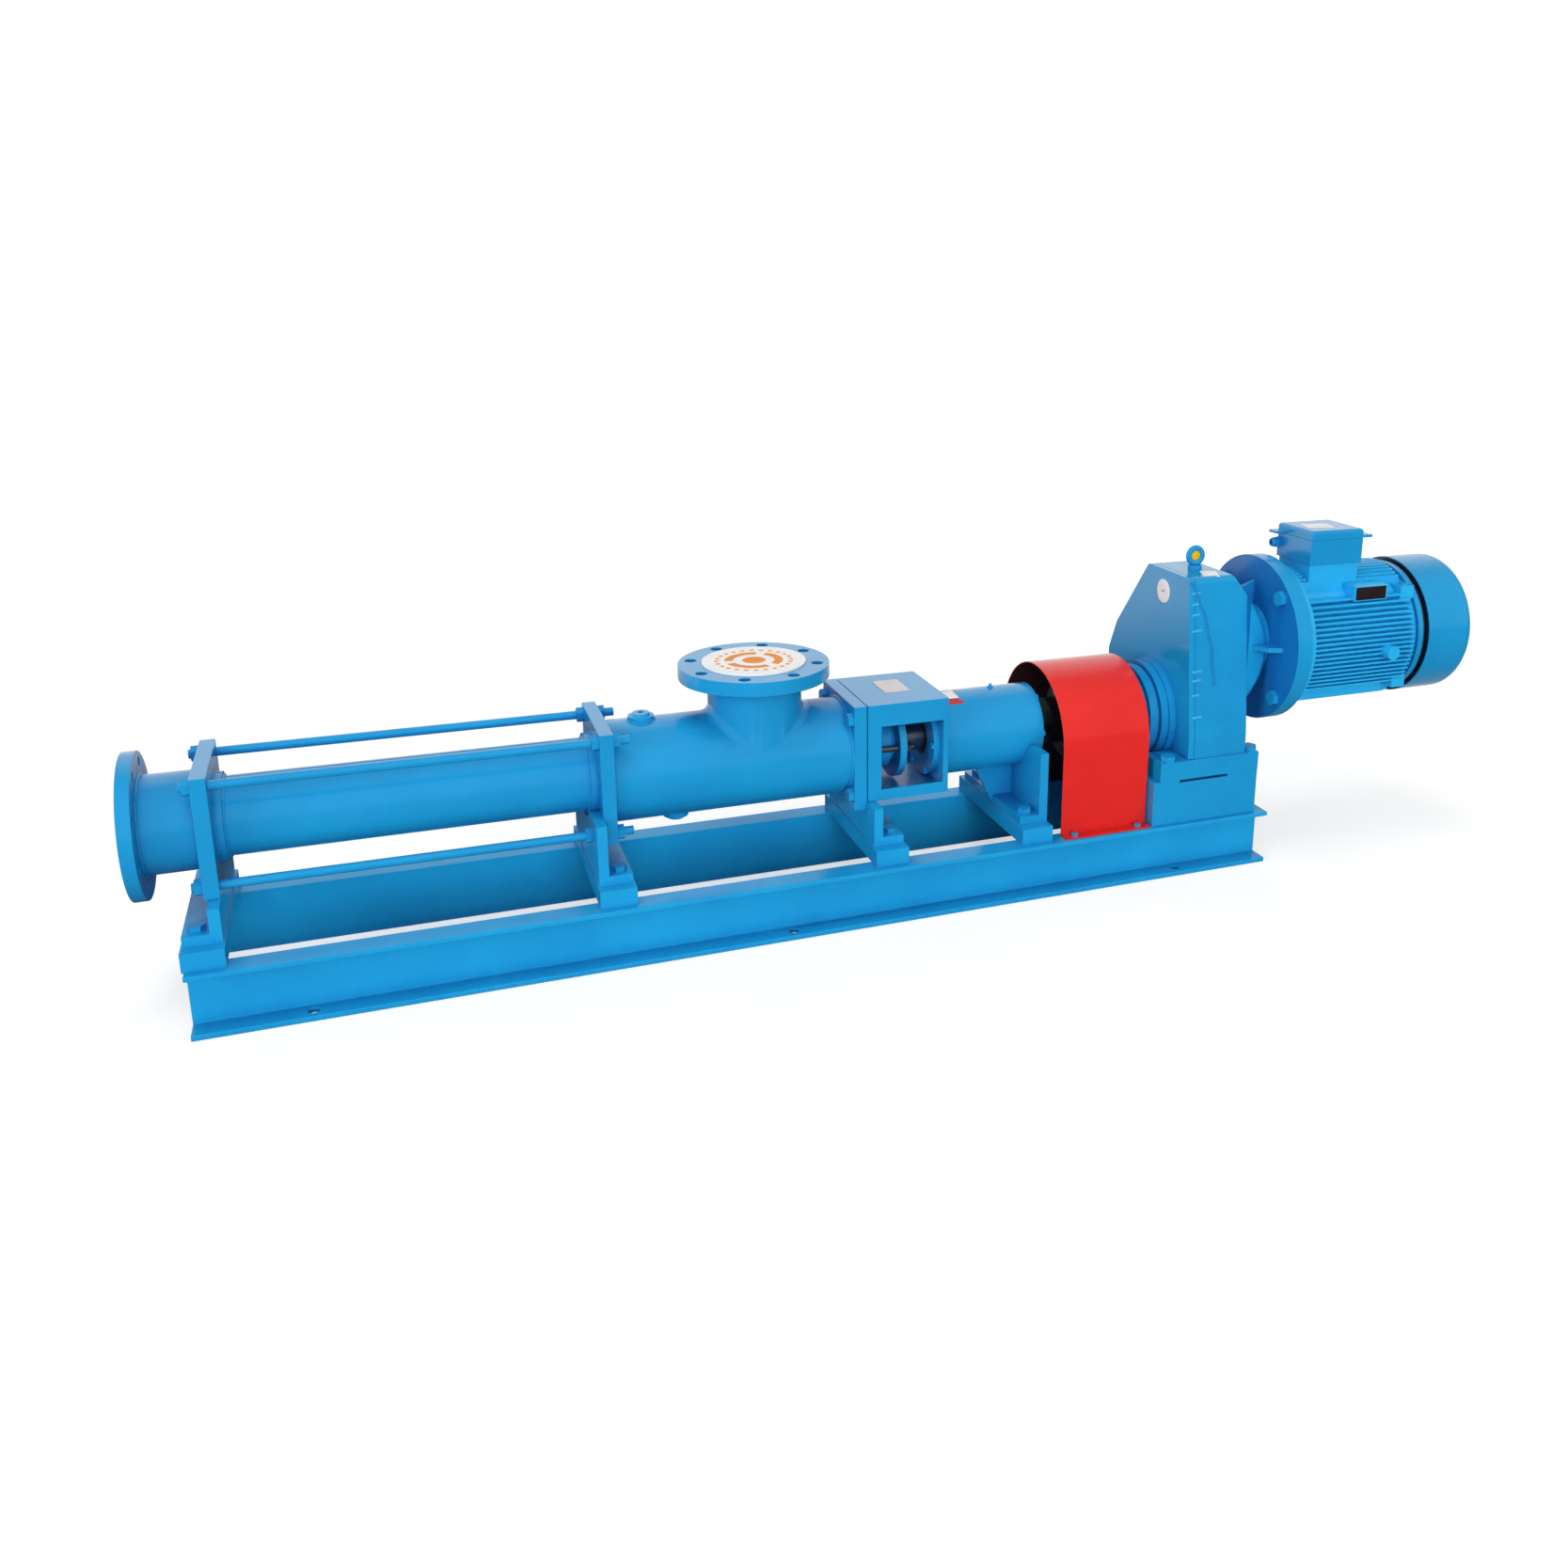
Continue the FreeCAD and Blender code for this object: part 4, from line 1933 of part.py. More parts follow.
def motor_flange_shield():
    """Flange end shield of the motor with the drive-end bearing seat."""
    body = new_body("motor_flange_shield", (adapter_face, -sizes.motor_offset, motor_height))
    disc = sizes.shield_thickness
    seat = sizes.motor_bearing_width
    turn(body, steps(
        -sizes.motor_spigot_length,
        (0, sizes.motor_spigot_radius),
        (disc, sizes.motor_flange_radius),
        (disc + seat, sizes.motor_bearing_radius + sizes.shield_hub_wall),
        inner=sizes.motor_shaft_radius + sizes.shield_shaft_gap,
    ))
    cut_discs(body, "YZ", [(0, 0)], sizes.motor_bearing_radius, disc, seat)
    cut_hole_circle(
        body, "YZ", (0, 0), sizes.motor_pitch_radius, sizes.motor_bolt_radius + sizes.seat_clearance,
        motor_bolt_count, sizes.motor_bolt_angle, 0, disc,
    )


def motor_flange_bolts():
    """Bolts through the adapter into the tapped motor flange."""
    grip = sizes.adapter_disc_thickness + sizes.shield_thickness
    bolt = hex_bolt(sizes.motor_bolt_radius, grip - sizes.bolt_tip_gap)
    face = adapter_face - sizes.adapter_disc_thickness
    group("motor_flange_bolts", [
        copy_at(bolt, (face, y - sizes.motor_offset, motor_height + z), "-X")
        for y, z in screw_places(sizes.motor_pitch_radius, motor_bolt_count, sizes.motor_bolt_angle)
    ])


def motor_frame():
    """Finned frame of the motor with its terminal box pad."""
    body = new_body("motor_frame", (motor_start, -sizes.motor_offset, motor_height))
    length = sizes.motor_frame_length
    add_disc(body, "YZ", (0, 0), sizes.motor_frame_radius, 0, length)
    add_disc(body, "YZ", (0, 0), sizes.frame_rim_radius, 0, sizes.frame_rim_width)
    add_fins(body, sizes.side_fin_rows, True)
    add_fins(body, sizes.top_fin_rows, False)
    box_start = sizes.terminal_box_position
    box_end = box_start + sizes.terminal_box_length
    box_half = sizes.terminal_box_width / 2 - sizes.saddle_setback
    shift = sizes.terminal_box_shift
    saddle = rectangle(
        box_start + sizes.saddle_end_setback, box_end - sizes.saddle_end_setback,
        -shift - box_half, -shift + box_half,
    )
    add_block(body, "XY", saddle, sizes.saddle_low, terminal_rise - sizes.saddle_low)
    pad_start = motor_plate_start - motor_start
    plate_pad = rectangle(
        pad_start, pad_start + sizes.motor_plate_pad_length,
        sizes.motor_plate_pad_low, sizes.motor_plate_pad_high,
    )
    add_block(body, "XZ", plate_pad, -sizes.motor_plate_pad_reach, sizes.motor_plate_pad_depth)
    low = sizes.frame_lug_low
    high = sizes.frame_lug_high
    for lug_low, lug_high in ((low, high), (-high, -low)):
        lug = rectangle(length - sizes.frame_lug_length, length, lug_low, lug_high)
        add_block(body, "XZ", lug, -high, high * 2)
    boss = (length - sizes.frame_boss_from_end, -sizes.frame_boss_drop)
    boss_length = sizes.frame_boss_reach - sizes.motor_frame_radius + sizes.frame_boss_radius
    add_disc(body, "XZ", boss, sizes.frame_boss_radius, -sizes.frame_boss_reach, boss_length)
    bore = sizes.motor_frame_radius - sizes.motor_frame_wall
    cut_discs(body, "YZ", [(0, 0)], bore, 0, length)


def add_fins(body, rows, level):
    """Rows of cooling fins, level ones on the sides or upright ones above and below."""
    reach = sizes.fin_radius
    half_fin = sizes.fin_thickness / 2
    sketch = new_sketch(body, "YZ", sizes.fin_front_gap)
    count = int(float(rows))
    for number in range(-count, count + 1):
        middle = number * sizes.fin_spacing
        half_width = root(reach * reach - middle * middle)
        across = (-half_width, half_width)
        up = (middle - half_fin, middle + half_fin)
        corners = rectangle(*across, *up) if level else rectangle(*up, *across)
        draw_outline(sketch, corners)
    length = sizes.motor_frame_length - sizes.fin_front_gap - sizes.fin_rear_gap
    pad(body, sketch, "YZ", length)


def motor_rear_shield():
    """Rear end shield with the bearing seat and the rim that carries the fan cover."""
    body = new_body("motor_rear_shield", (motor_end, -sizes.motor_offset, motor_height))
    seat = sizes.motor_bearing_width
    disc = sizes.shield_thickness
    groove = disc + sizes.fan_cover_gap
    rim = sizes.fan_cover_radius - sizes.fan_cover_wall - sizes.seat_clearance
    turn(body, steps(
        -seat,
        (0, sizes.motor_bearing_radius + sizes.shield_hub_wall),
        (disc, sizes.motor_frame_radius + sizes.rear_shield_overlap),
        (groove, sizes.rear_groove_radius),
        (groove + sizes.rear_rim_length, rim),
        inner=sizes.motor_shaft_radius + sizes.rear_shield_shaft_gap,
    ))
    cut_discs(body, "YZ", [(0, 0)], sizes.motor_bearing_radius, -seat, seat)
    hollow = sizes.rear_groove_radius - sizes.rear_rim_wall
    cut_discs(body, "YZ", [(0, 0)], hollow, disc, sizes.fan_cover_gap + sizes.rear_rim_length)


def motor_stator():
    """Laminated core of the motor's stator with the winding heads at both ends."""
    bore = sizes.motor_frame_radius - sizes.motor_frame_wall
    template = ring(bore - sizes.seat_clearance, sizes.core_inner_radius, sizes.core_length)
    core = copy_at(template, (core_start, -sizes.motor_offset, motor_height), "+X")
    winding = ring(
        bore - sizes.winding_gap,
        sizes.core_inner_radius + sizes.winding_inner_gap,
        sizes.winding_reach,
    )
    ends = [core_start - sizes.winding_reach, core_start + sizes.core_length]
    coils = [copy_at(winding, (end, -sizes.motor_offset, motor_height), "+X") for end in ends]
    group("motor_stator", [core] + coils)


def motor_shaft():
    """Motor shaft from the pinion socket to the fan."""
    body = new_body("motor_shaft", (motor_shaft_start, -sizes.motor_offset, motor_height))
    drive_bearing = motor_bearing_places[0] - motor_shaft_start
    rear_bearing = motor_bearing_places[1] - motor_shaft_start
    seat = sizes.motor_bearing_bore
    width = sizes.motor_bearing_width
    turn(body, steps(
        0,
        (drive_bearing - sizes.motor_seat_lead, sizes.motor_shaft_radius),
        (drive_bearing + width + sizes.motor_seat_gap, seat),
        (rear_bearing - sizes.motor_seat_gap, seat + sizes.motor_shaft_shoulder),
        (rear_bearing + width + sizes.motor_seat_lead, seat),
        (fan_start + sizes.motor_shaft_end - motor_shaft_start, sizes.motor_shaft_radius),
    ))


def motor_rotor_core():
    """Rotor cage core of the motor with its end rings."""
    end = sizes.end_ring_length
    body = new_body("motor_rotor_core", (core_start - end, -sizes.motor_offset, motor_height))
    outer = sizes.core_inner_radius - sizes.air_gap
    ring_radius = outer - sizes.end_ring_step
    length = sizes.core_length
    turn(body, steps(
        0,
        (end, ring_radius),
        (length + end, outer),
        (length + end * 2, ring_radius),
        inner=sizes.motor_bearing_bore + sizes.motor_shaft_shoulder + sizes.seat_clearance,
    ))


def cooling_fan():
    """Radial fan on the rear end of the motor shaft."""
    body = new_body("cooling_fan", (fan_start, -sizes.motor_offset, motor_height))
    hub = sizes.motor_shaft_radius + sizes.fan_hub_wall
    add_disc(body, "YZ", (0, 0), sizes.fan_radius, 0, sizes.fan_disc_thickness)
    add_disc(body, "YZ", (0, 0), hub, 0, sizes.fan_hub_length)
    sketch = new_sketch(body, "YZ", 0)
    half_blade = sizes.fan_blade_thickness / 2
    root_radius = hub - sizes.fan_blade_overlap
    draw_outline(sketch, rectangle(root_radius, sizes.fan_radius, -half_blade, half_blade))
    blade = pad(body, sketch, "YZ", sizes.fan_blade_length)
    repeat_around(body, blade, sketch, sizes.fan_blade_count)
    bore = sizes.motor_shaft_radius + sizes.seat_clearance
    cut_discs(body, "YZ", [(0, 0)], bore, 0, sizes.fan_hub_length)


def fan_cover():
    """Sheet cover of the fan with rounded rear edge and air holes."""
    start = (fan_cover_start, -sizes.motor_offset, motor_height)
    length = sizes.fan_cover_length
    wall = sizes.fan_cover_wall
    shell = loose_body("fan_cover_shell", start)
    add_disc(shell, "YZ", (0, 0), sizes.fan_cover_radius, 0, length)
    round_edges(shell, sizes.fan_cover_round, lambda edge: is_circle_at(edge, length))
    for row in range(int(float(sizes.air_hole_rows))):
        circle = sizes.air_hole_first_circle + sizes.air_hole_row_pitch * row
        count = int(float(sizes.air_hole_first_count + sizes.air_hole_added_count * row))
        cut_hole_circle(
            shell, "YZ", (0, 0), circle, sizes.air_hole_radius, count, 0, length - wall, wall)
    room = loose_body("fan_cover_room", start)
    depth = length - wall
    add_disc(room, "YZ", (0, 0), sizes.fan_cover_radius - wall, 0, depth)
    round_edges(room, sizes.fan_cover_round - wall, lambda edge: is_circle_at(edge, depth))
    sub_part(cut(shell, room), "fan_cover")


def is_circle_at(edge, station):
    """True for an edge that lies in the plane across X at a station."""
    box = edge.BoundBox
    return box.XLength < 0.01 and abs(box.XMin - float(station)) < 0.01


def terminal_box():
    """Terminal box on the motor frame with its lid."""
    start = motor_start + sizes.terminal_box_position
    half = sizes.terminal_box_width / 2
    body = new_body("terminal_box", (start, terminal_middle, motor_height + terminal_rise))
    length = sizes.terminal_box_length
    height = sizes.terminal_box_height
    wall = sizes.terminal_box_wall
    add_block(body, "XY", rectangle(0, length, -half, half), 0, height)
    hollow = rectangle(wall, length - wall, -half + wall, half - wall)
    cut_block(body, "XY", hollow, wall, height - wall)
    lid_place = (start, terminal_middle, motor_height + terminal_rise + height)
    lid = new_body("terminal_box_lid", lid_place)
    thickness = sizes.terminal_lid_thickness
    add_block(lid, "XY", rectangle(0, length, -half, half), 0, thickness)
    round_edges(lid, sizes.terminal_lid_round, top_long_edge)
    ear = sizes.terminal_ear_length
    inner = half - sizes.terminal_ear_width
    for corners in (rectangle(-ear, wall, inner, half), rectangle(length - wall, length + ear, -half, -inner)):
        add_block(lid, "XY", corners, 0, sizes.terminal_ear_thickness)
    cut_block(lid, "XY", hollow, 0, thickness - wall)


def top_long_edge(edge):
    """True for a level edge on top of the lid."""
    box = edge.BoundBox
    return box.ZLength < 0.01 and box.ZMin > float(sizes.terminal_lid_thickness) - 0.01


def nameplates():
    """Blank rating plates of the pump and of the motor."""
    thickness = sizes.nameplate_thickness
    pump_plate = block(
        sizes.nameplate_length, sizes.nameplate_width, thickness,
        (
            bracket_start + sizes.nameplate_from_bracket,
            -sizes.nameplate_front,
            sizes.axis_height + sizes.bracket_top,
        ),
    )
    side_gap = (sizes.motor_plate_pad_length - sizes.motor_plate_length) / 2
    level_gap = (sizes.motor_plate_pad_high - sizes.motor_plate_pad_low - sizes.motor_plate_height) / 2
    motor_plate = block(
        sizes.motor_plate_length, thickness, sizes.motor_plate_height,
        (
            motor_plate_start + side_gap,
            -sizes.motor_offset - sizes.motor_plate_pad_reach - thickness,
            motor_height + sizes.motor_plate_pad_low + level_gap,
        ),
    )
    group("nameplates", [pump_plate, motor_plate])


def build():
    """Make every sub-part."""
    base_rail("base_rail_front", -1)
    base_rail("base_rail_rear", 1)
    bearer_bars()
    gearbox_pedestal()
    support_feet()
    base_bolts()
    discharge_casing()
    stator_tube()
    stator_lining()
    tie_rods()
    tie_rod_nuts()
    suction_casing()
    casing_plugs()
    suction_port_cover()
    rotor()
    joint_pin("rotor_joint_pin", rotor_joint, sizes.rotor_eccentricity)
    joint_pin("drive_joint_pin", drive_joint, 0)
    joint_sleeve("rotor_joint_sleeve", rotor_joint, sizes.rotor_eccentricity)
    joint_sleeve("drive_joint_sleeve", drive_joint, 0)
    connecting_rod()
    drive_shaft()
    stuffing_box()
    packing_rings()
    gland()
    gland_studs()
    bearing_bracket()
    bracket_bolts()
    bearing_housing()
    bearing_covers()
    shaft_seals()
    all_bearings()
    coupling()
    coupling_guard()
    gearbox_front_cover()
    gearbox_housing()
    gearbox_output_cover()
    eyebolt()
    output_shaft()
    gear_wheel()
    pinion_shaft()
    motor_adapter()
    motor_flange_shield()
    motor_flange_bolts()
    motor_frame()
    motor_rear_shield()
    motor_stator()
    motor_shaft()
    motor_rotor_core()
    cooling_fan()
    fan_cover()
    terminal_box()
    nameplates()


def check_document():
    """Stop if any object failed, cut nothing or has no valid shape."""
    for item in doc.Objects:
        if "Invalid" in item.State or "Error" in item.State:
            raise RuntimeError(f"{item.Name} failed: {item.State}")
        if item.TypeId in ("PartDesign::Pocket", "PartDesign::Groove"):
            removed = item.BaseFeature.Shape.Volume - item.Shape.Volume
            if removed < 1:
                raise RuntimeError(f"{item.Name} of {item.getParentGeoFeatureGroup().Label} cuts nothing")
    for item in SUB_PARTS:
        if item.Shape.isNull() or not item.Shape.isValid():
            raise RuntimeError(f"{item.Label} has no valid shape")


def write_parts():
    """Write each sub-part to its own file."""
    os.makedirs("parts", exist_ok=True)
    for item in SUB_PARTS:
        item.Shape.exportStep(f"parts/{item.Label}.step")
        print(f"{item.Label}: {len(item.Shape.Solids)} solids, {item.Shape.Volume:.0f} cubic mm")


build()
doc.recompute()
check_document()
write_parts()
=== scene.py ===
import json
import math
import random
from collections import namedtuple
from functools import lru_cache

import bpy
from mathutils import Matrix, Vector
from mathutils.bvhtree import BVHTree


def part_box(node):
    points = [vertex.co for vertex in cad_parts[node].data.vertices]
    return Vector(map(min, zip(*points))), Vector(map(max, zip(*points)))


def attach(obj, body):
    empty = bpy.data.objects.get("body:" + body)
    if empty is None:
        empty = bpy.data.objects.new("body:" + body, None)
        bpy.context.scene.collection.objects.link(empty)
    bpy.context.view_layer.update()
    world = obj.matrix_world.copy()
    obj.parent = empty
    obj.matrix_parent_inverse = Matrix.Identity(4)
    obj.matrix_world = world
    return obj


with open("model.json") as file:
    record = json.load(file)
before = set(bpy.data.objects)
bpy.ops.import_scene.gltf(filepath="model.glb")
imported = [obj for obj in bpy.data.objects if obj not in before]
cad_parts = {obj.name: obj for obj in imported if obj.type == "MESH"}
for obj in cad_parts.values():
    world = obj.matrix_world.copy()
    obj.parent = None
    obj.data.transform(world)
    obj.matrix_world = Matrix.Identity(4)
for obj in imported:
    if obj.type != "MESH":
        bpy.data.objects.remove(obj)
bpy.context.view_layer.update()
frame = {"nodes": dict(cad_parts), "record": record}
random.seed(7)

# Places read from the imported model, in metres
NODES = frame["nodes"]
SLOT_OF = {row["node"]: row["material_slot"] for row in frame["record"]["subparts"]}
STATOR_LOW, STATOR_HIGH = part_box("stator_tube")
CASING_LOW, CASING_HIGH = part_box("suction_casing")
DISCHARGE_LOW, DISCHARGE_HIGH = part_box("discharge_casing")
PORT_LOW, PORT_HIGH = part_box("suction_port_cover")
FLANGE_LOW, FLANGE_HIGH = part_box("motor_flange_shield")
EYEBOLT_LOW, EYEBOLT_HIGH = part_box("eyebolt")
BRACKET_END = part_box("bearing_bracket")[1].x
GEAR_CASING_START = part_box("gearbox_front_cover")[0].x
MOTOR_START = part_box("motor_frame")[0].x
FAN_COVER_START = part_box("fan_cover")[0].x
TERMINAL_BOX_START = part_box("terminal_box")[0].x
LID_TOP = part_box("terminal_box_lid")[1].z
AXIS_HEIGHT = (STATOR_LOW.z + STATOR_HIGH.z) / 2
PORT_X = (PORT_LOW.x + PORT_HIGH.x) / 2
MOTOR_Y = (FLANGE_LOW.y + FLANGE_HIGH.y) / 2

# Sizes of the modelled bodies, in metres
PLATE_THICKNESS = 0.025
DISCHARGE_FLANGE_THICKNESS = 0.022
SUCTION_FLANGE_THICKNESS = 0.027
COLLAR_WIDTH = 0.014
CHAMBER_RADIUS = 0.095
PORT_NECK_RADIUS = 0.0885
DISCHARGE_NECK_RADIUS = 0.084
STATOR_RADIUS = 0.068
HOUSING_RADIUS = 0.084
HOUSING_TOP = AXIS_HEIGHT + HOUSING_RADIUS
BOSS_RADIUS = 0.024

# Directions
UP = (0, 0, 1)
ALONG_PUMP = (1, 0, 0)
TO_DISCHARGE = (-1, 0, 0)
TO_FRONT = (0, -1, 0)
TO_BACK = (0, 1, 0)


# Node helpers

class Tree:
    """Short forms for the nodes of a material or of the world."""

    def __init__(self, tree):
        self.tree = tree

    def put(self, socket, value):
        """Link an input to a socket or set it to a constant."""
        if isinstance(value, bpy.types.NodeSocket):
            self.tree.links.new(value, socket)
        else:
            socket.default_value = value

    def feed(self, node, name, value):
        """Link or set an input by its name or number."""
        self.put(node.inputs[name], value)

    def add(self, kind, settings=None, **values):
        """A node with some properties and input values."""
        node = self.tree.nodes.new(kind)
        for name, value in (settings or {}).items():
            setattr(node, name, value)
        for name, value in values.items():
            self.feed(node, name.replace("_", " "), value)
        return node

    def span(self, value, low, high, to_low=0.0, to_high=1.0):
        """Map a value from one range to another, kept within it."""
        node = self.add("ShaderNodeMapRange")
        self.feed(node, "Value", value)
        self.feed(node, "From Min", low)
        self.feed(node, "From Max", high)
        self.feed(node, "To Min", to_low)
        self.feed(node, "To Max", to_high)
        return node.outputs[0]

    def choose(self, factor, without, within):
        """One value where the factor is nought and another where it is one."""
        return self.span(factor, 0.0, 1.0, without, within)

    def mix(self, factor, first, second):
        """Blend of two colours."""
        node = self.add("ShaderNodeMix", {"data_type": "RGBA"})
        colours = [socket for socket in node.inputs if socket.type == "RGBA"]
        for socket, value in zip([node.inputs[0]] + colours, (factor, first, second)):
            self.put(socket, value)
        return [socket for socket in node.outputs if socket.type == "RGBA"][0]

    def math(self, operation, first, second=0.0):
        """Arithmetic on two values."""
        node = self.add("ShaderNodeMath", {"operation": operation})
        self.feed(node, 0, first)
        self.feed(node, 1, second)
        return node.outputs[0]

    def vector_math(self, operation, first, second=None):
        """The value that an operation on one or two vectors gives."""
        node = self.add("ShaderNodeVectorMath", {"operation": operation})
        self.feed(node, 0, first)
        if second is not None:
            self.feed(node, 1, second)
        return node.outputs["Value"]

    def part(self, vector, axis):
        """One coordinate of a vector."""
        return self.add("ShaderNodeSeparateXYZ", Vector=vector).outputs[axis]


class Recipe(Tree):
    """A material under construction."""

    BUMP_STRENGTH = 0.3
    BEVEL_SAMPLES = 3
    OCCLUSION_SAMPLES = 4

    def __init__(self, name):
        self.material = bpy.data.materials.new(name)
        self.material.use_nodes = True
        super().__init__(self.material.node_tree)
        self.shader = self.tree.nodes["Principled BSDF"]
        self.place = self.add("ShaderNodeTexCoord").outputs["Object"]

    def noise(self, cells, detail=3.0, rough=0.5, stretch=None):
        """Noise of a number of cells to the metre."""
        place = self.place
        if stretch:
            place = self.add("ShaderNodeMapping", Vector=place, Scale=stretch).outputs[0]
        node = self.add(
            "ShaderNodeTexNoise", Vector=place, Scale=cells, Detail=detail, Roughness=rough)
        return node.outputs["Fac"]

    def patches(self, cells, detail, rough, band, levels=(0.0, 1.0), stretch=None):
        """Noise whose middle band is spread over two levels."""
        return self.span(self.noise(cells, detail, rough, stretch), *band, *levels)

    def bump(self, height, distance, normal=None):
        """A bump, on top of another one where it is given."""
        node = self.add("ShaderNodeBump", Strength=self.BUMP_STRENGTH, Distance=distance, Height=height)
        if normal is not None:
            self.feed(node, "Normal", normal)
        return node.outputs[0]

    def facing(self):
        """Normal of the surface."""
        return self.add("ShaderNodeNewGeometry").outputs["Normal"]

    def edges(self, radius):
        """One along outer edges and nought elsewhere."""
        smooth = self.add("ShaderNodeBevel", {"samples": self.BEVEL_SAMPLES}, Radius=radius).outputs[0]
        turn = self.vector_math("DOT_PRODUCT", smooth, self.facing())
        return self.span(turn, low=0.97, high=0.8)

    def corners(self, distance):
        """One in narrow corners and nought in the open."""
        node = self.add(
            "ShaderNodeAmbientOcclusion", {"samples": self.OCCLUSION_SAMPLES}, Distance=distance)
        return self.span(node.outputs["AO"], low=0.75, high=0.2)

    def colour(self, tone):
        """Set or link the base colour."""
        self.feed(self.shader, "Base Color", tone)

    def repaint(self, factor, colour):
        """Lay a colour over the base colour where the factor is one."""
        under = self.shader.inputs["Base Color"].links[0].from_socket
        self.colour(self.mix(factor, under, colour))


def rgba(red, green, blue):
    """A colour with full opacity."""
    return (red, green, blue, 1.0)


def grey(level):
    """A colourless shade."""
    return rgba(level, level, level)


def darker(colour, share):
    """A share of a colour's brightness."""
    return rgba(*[share * value for value in colour[:3]])


# Colours of the enamel: base, deeper clouds, rubbed edges and the painted shade of hollows
Paint = namedtuple("Paint", "base deep worn shade")
BLUE = Paint(
    base=rgba(0.009, 0.315, 0.64),
    deep=rgba(0.008, 0.275, 0.59),
    worn=rgba(0.10, 0.45, 0.74),
    shade=rgba(0.007, 0.085, 0.38),
)
RED = Paint(
    base=rgba(0.76, 0.022, 0.018),
    deep=rgba(0.69, 0.018, 0.015),
    worn=rgba(0.82, 0.16, 0.12),
    shade=rgba(0.42, 0.008, 0.008),
)
# Paler copy of the blue for the motor fins: painted light that offsets the shade between the fins
FIN_LIT_BLUE = BLUE._replace(base=rgba(0.02, 0.46, 0.86), deep=rgba(0.018, 0.42, 0.81))
# Paler copy of the blue for the base rails: painted light on their webs
RAIL_LIT_BLUE = BLUE._replace(base=rgba(0.014, 0.36, 0.70), deep=rgba(0.012, 0.31, 0.64))
# Darker blue of the casting seam: painted shade along it
SEAM_SHADE_BLUE = BLUE._replace(base=rgba(0.009, 0.24, 0.56), deep=rgba(0.008, 0.21, 0.52), worn=BLUE.base)
# Paler blue of the casting marks: painted highlight on them, with no painted shade
MARK_LIT_BLUE = BLUE._replace(base=rgba(0.05, 0.42, 0.76), deep=rgba(0.04, 0.37, 0.72), shade=BLUE.base)
# Painted shade on the side of the motor flanges that faces the gear casing
ADAPTER_SHADOW = rgba(0.006, 0.15, 0.48)
# Painted shadow on the motor's rear shield next to the fan cover
SHIELD_SHADOW = rgba(0.004, 0.012, 0.03)
# Painted shade inside the coupling guard's arch
GUARD_INSIDE_SHADE = rgba(0.055, 0.016, 0.016)
ORANGE = rgba(0.83, 0.26, 0.0)
BLACK_PLATE = rgba(0.02, 0.012, 0.013)
OILY_FILM = rgba(0.05, 0.045, 0.04)

# Fine bumps of the enamel: cells to the metre and depth in metres
Grain = namedtuple("Grain", "cells depth")
SMOOTH_GRAIN = Grain(420.0, 0.00008)
CAST_GRAIN = Grain(190.0, 0.0003)
SHEET_GRAIN = Grain(320.0, 0.0001)

# Gloss of the enamel
PAINT_IOR = 1.5
RAIL_IOR = 1.3
COAT_ROUGHNESS = 0.08

# Turned or ground metal: colour, roughness and stretch of the marks
Metal = namedtuple("Metal", "base roughness streaks")
METALS = {
    "steel": Metal(rgba(0.52, 0.53, 0.55), 0.28, (0.15, 1.0, 1.0)),
    "chrome_steel": Metal(rgba(0.74, 0.75, 0.77), 0.12, (0.1, 1.0, 1.0)),
    "cast_iron": Metal(rgba(0.16, 0.16, 0.17), 0.45, (1.0, 1.0, 1.0)),
}

# Rubber, plastic and film: two colours, roughness, cells to the metre and depth of the grain
Skin = namedtuple("Skin", "base other roughness cells depth ior", defaults=(1.45,))
SKINS = {
    "rubber": Skin(grey(0.02), grey(0.03), 0.6, 600.0, 0.0003),
    "dark_plastic": Skin(rgba(0.02, 0.02, 0.022), rgba(0.03, 0.03, 0.034), 0.45, 500.0, 0.0002),
    "label_white": Skin(rgba(0.92, 0.92, 0.91), grey(0.86), 0.4, 300.0, 0.0001),
    "label_red": Skin(rgba(0.62, 0.05, 0.05), rgba(0.5, 0.04, 0.04), 0.4, 300.0, 0.0001),
    "label_grey": Skin(rgba(0.32, 0.34, 0.36), rgba(0.26, 0.28, 0.3), 0.4, 300.0, 0.0001),
    "yellow_plastic": Skin(rgba(0.78, 0.5, 0.01), rgba(0.7, 0.44, 0.01), 0.4, 400.0, 0.0001),
    "motor_plate": Skin(rgba(0.014, 0.008, 0.009), rgba(0.026, 0.011, 0.012), 0.4, 300.0, 0.0001),
}
PORT_DISC_SKIN = Skin(rgba(0.95, 0.94, 0.92), rgba(0.91, 0.90, 0.88), 0.45, 500.0, 0.0001, 1.2)
PLATE_SKIN = Skin(rgba(0.76, 0.70, 0.70), rgba(0.68, 0.62, 0.62), 0.35, 300.0, 0.0002)
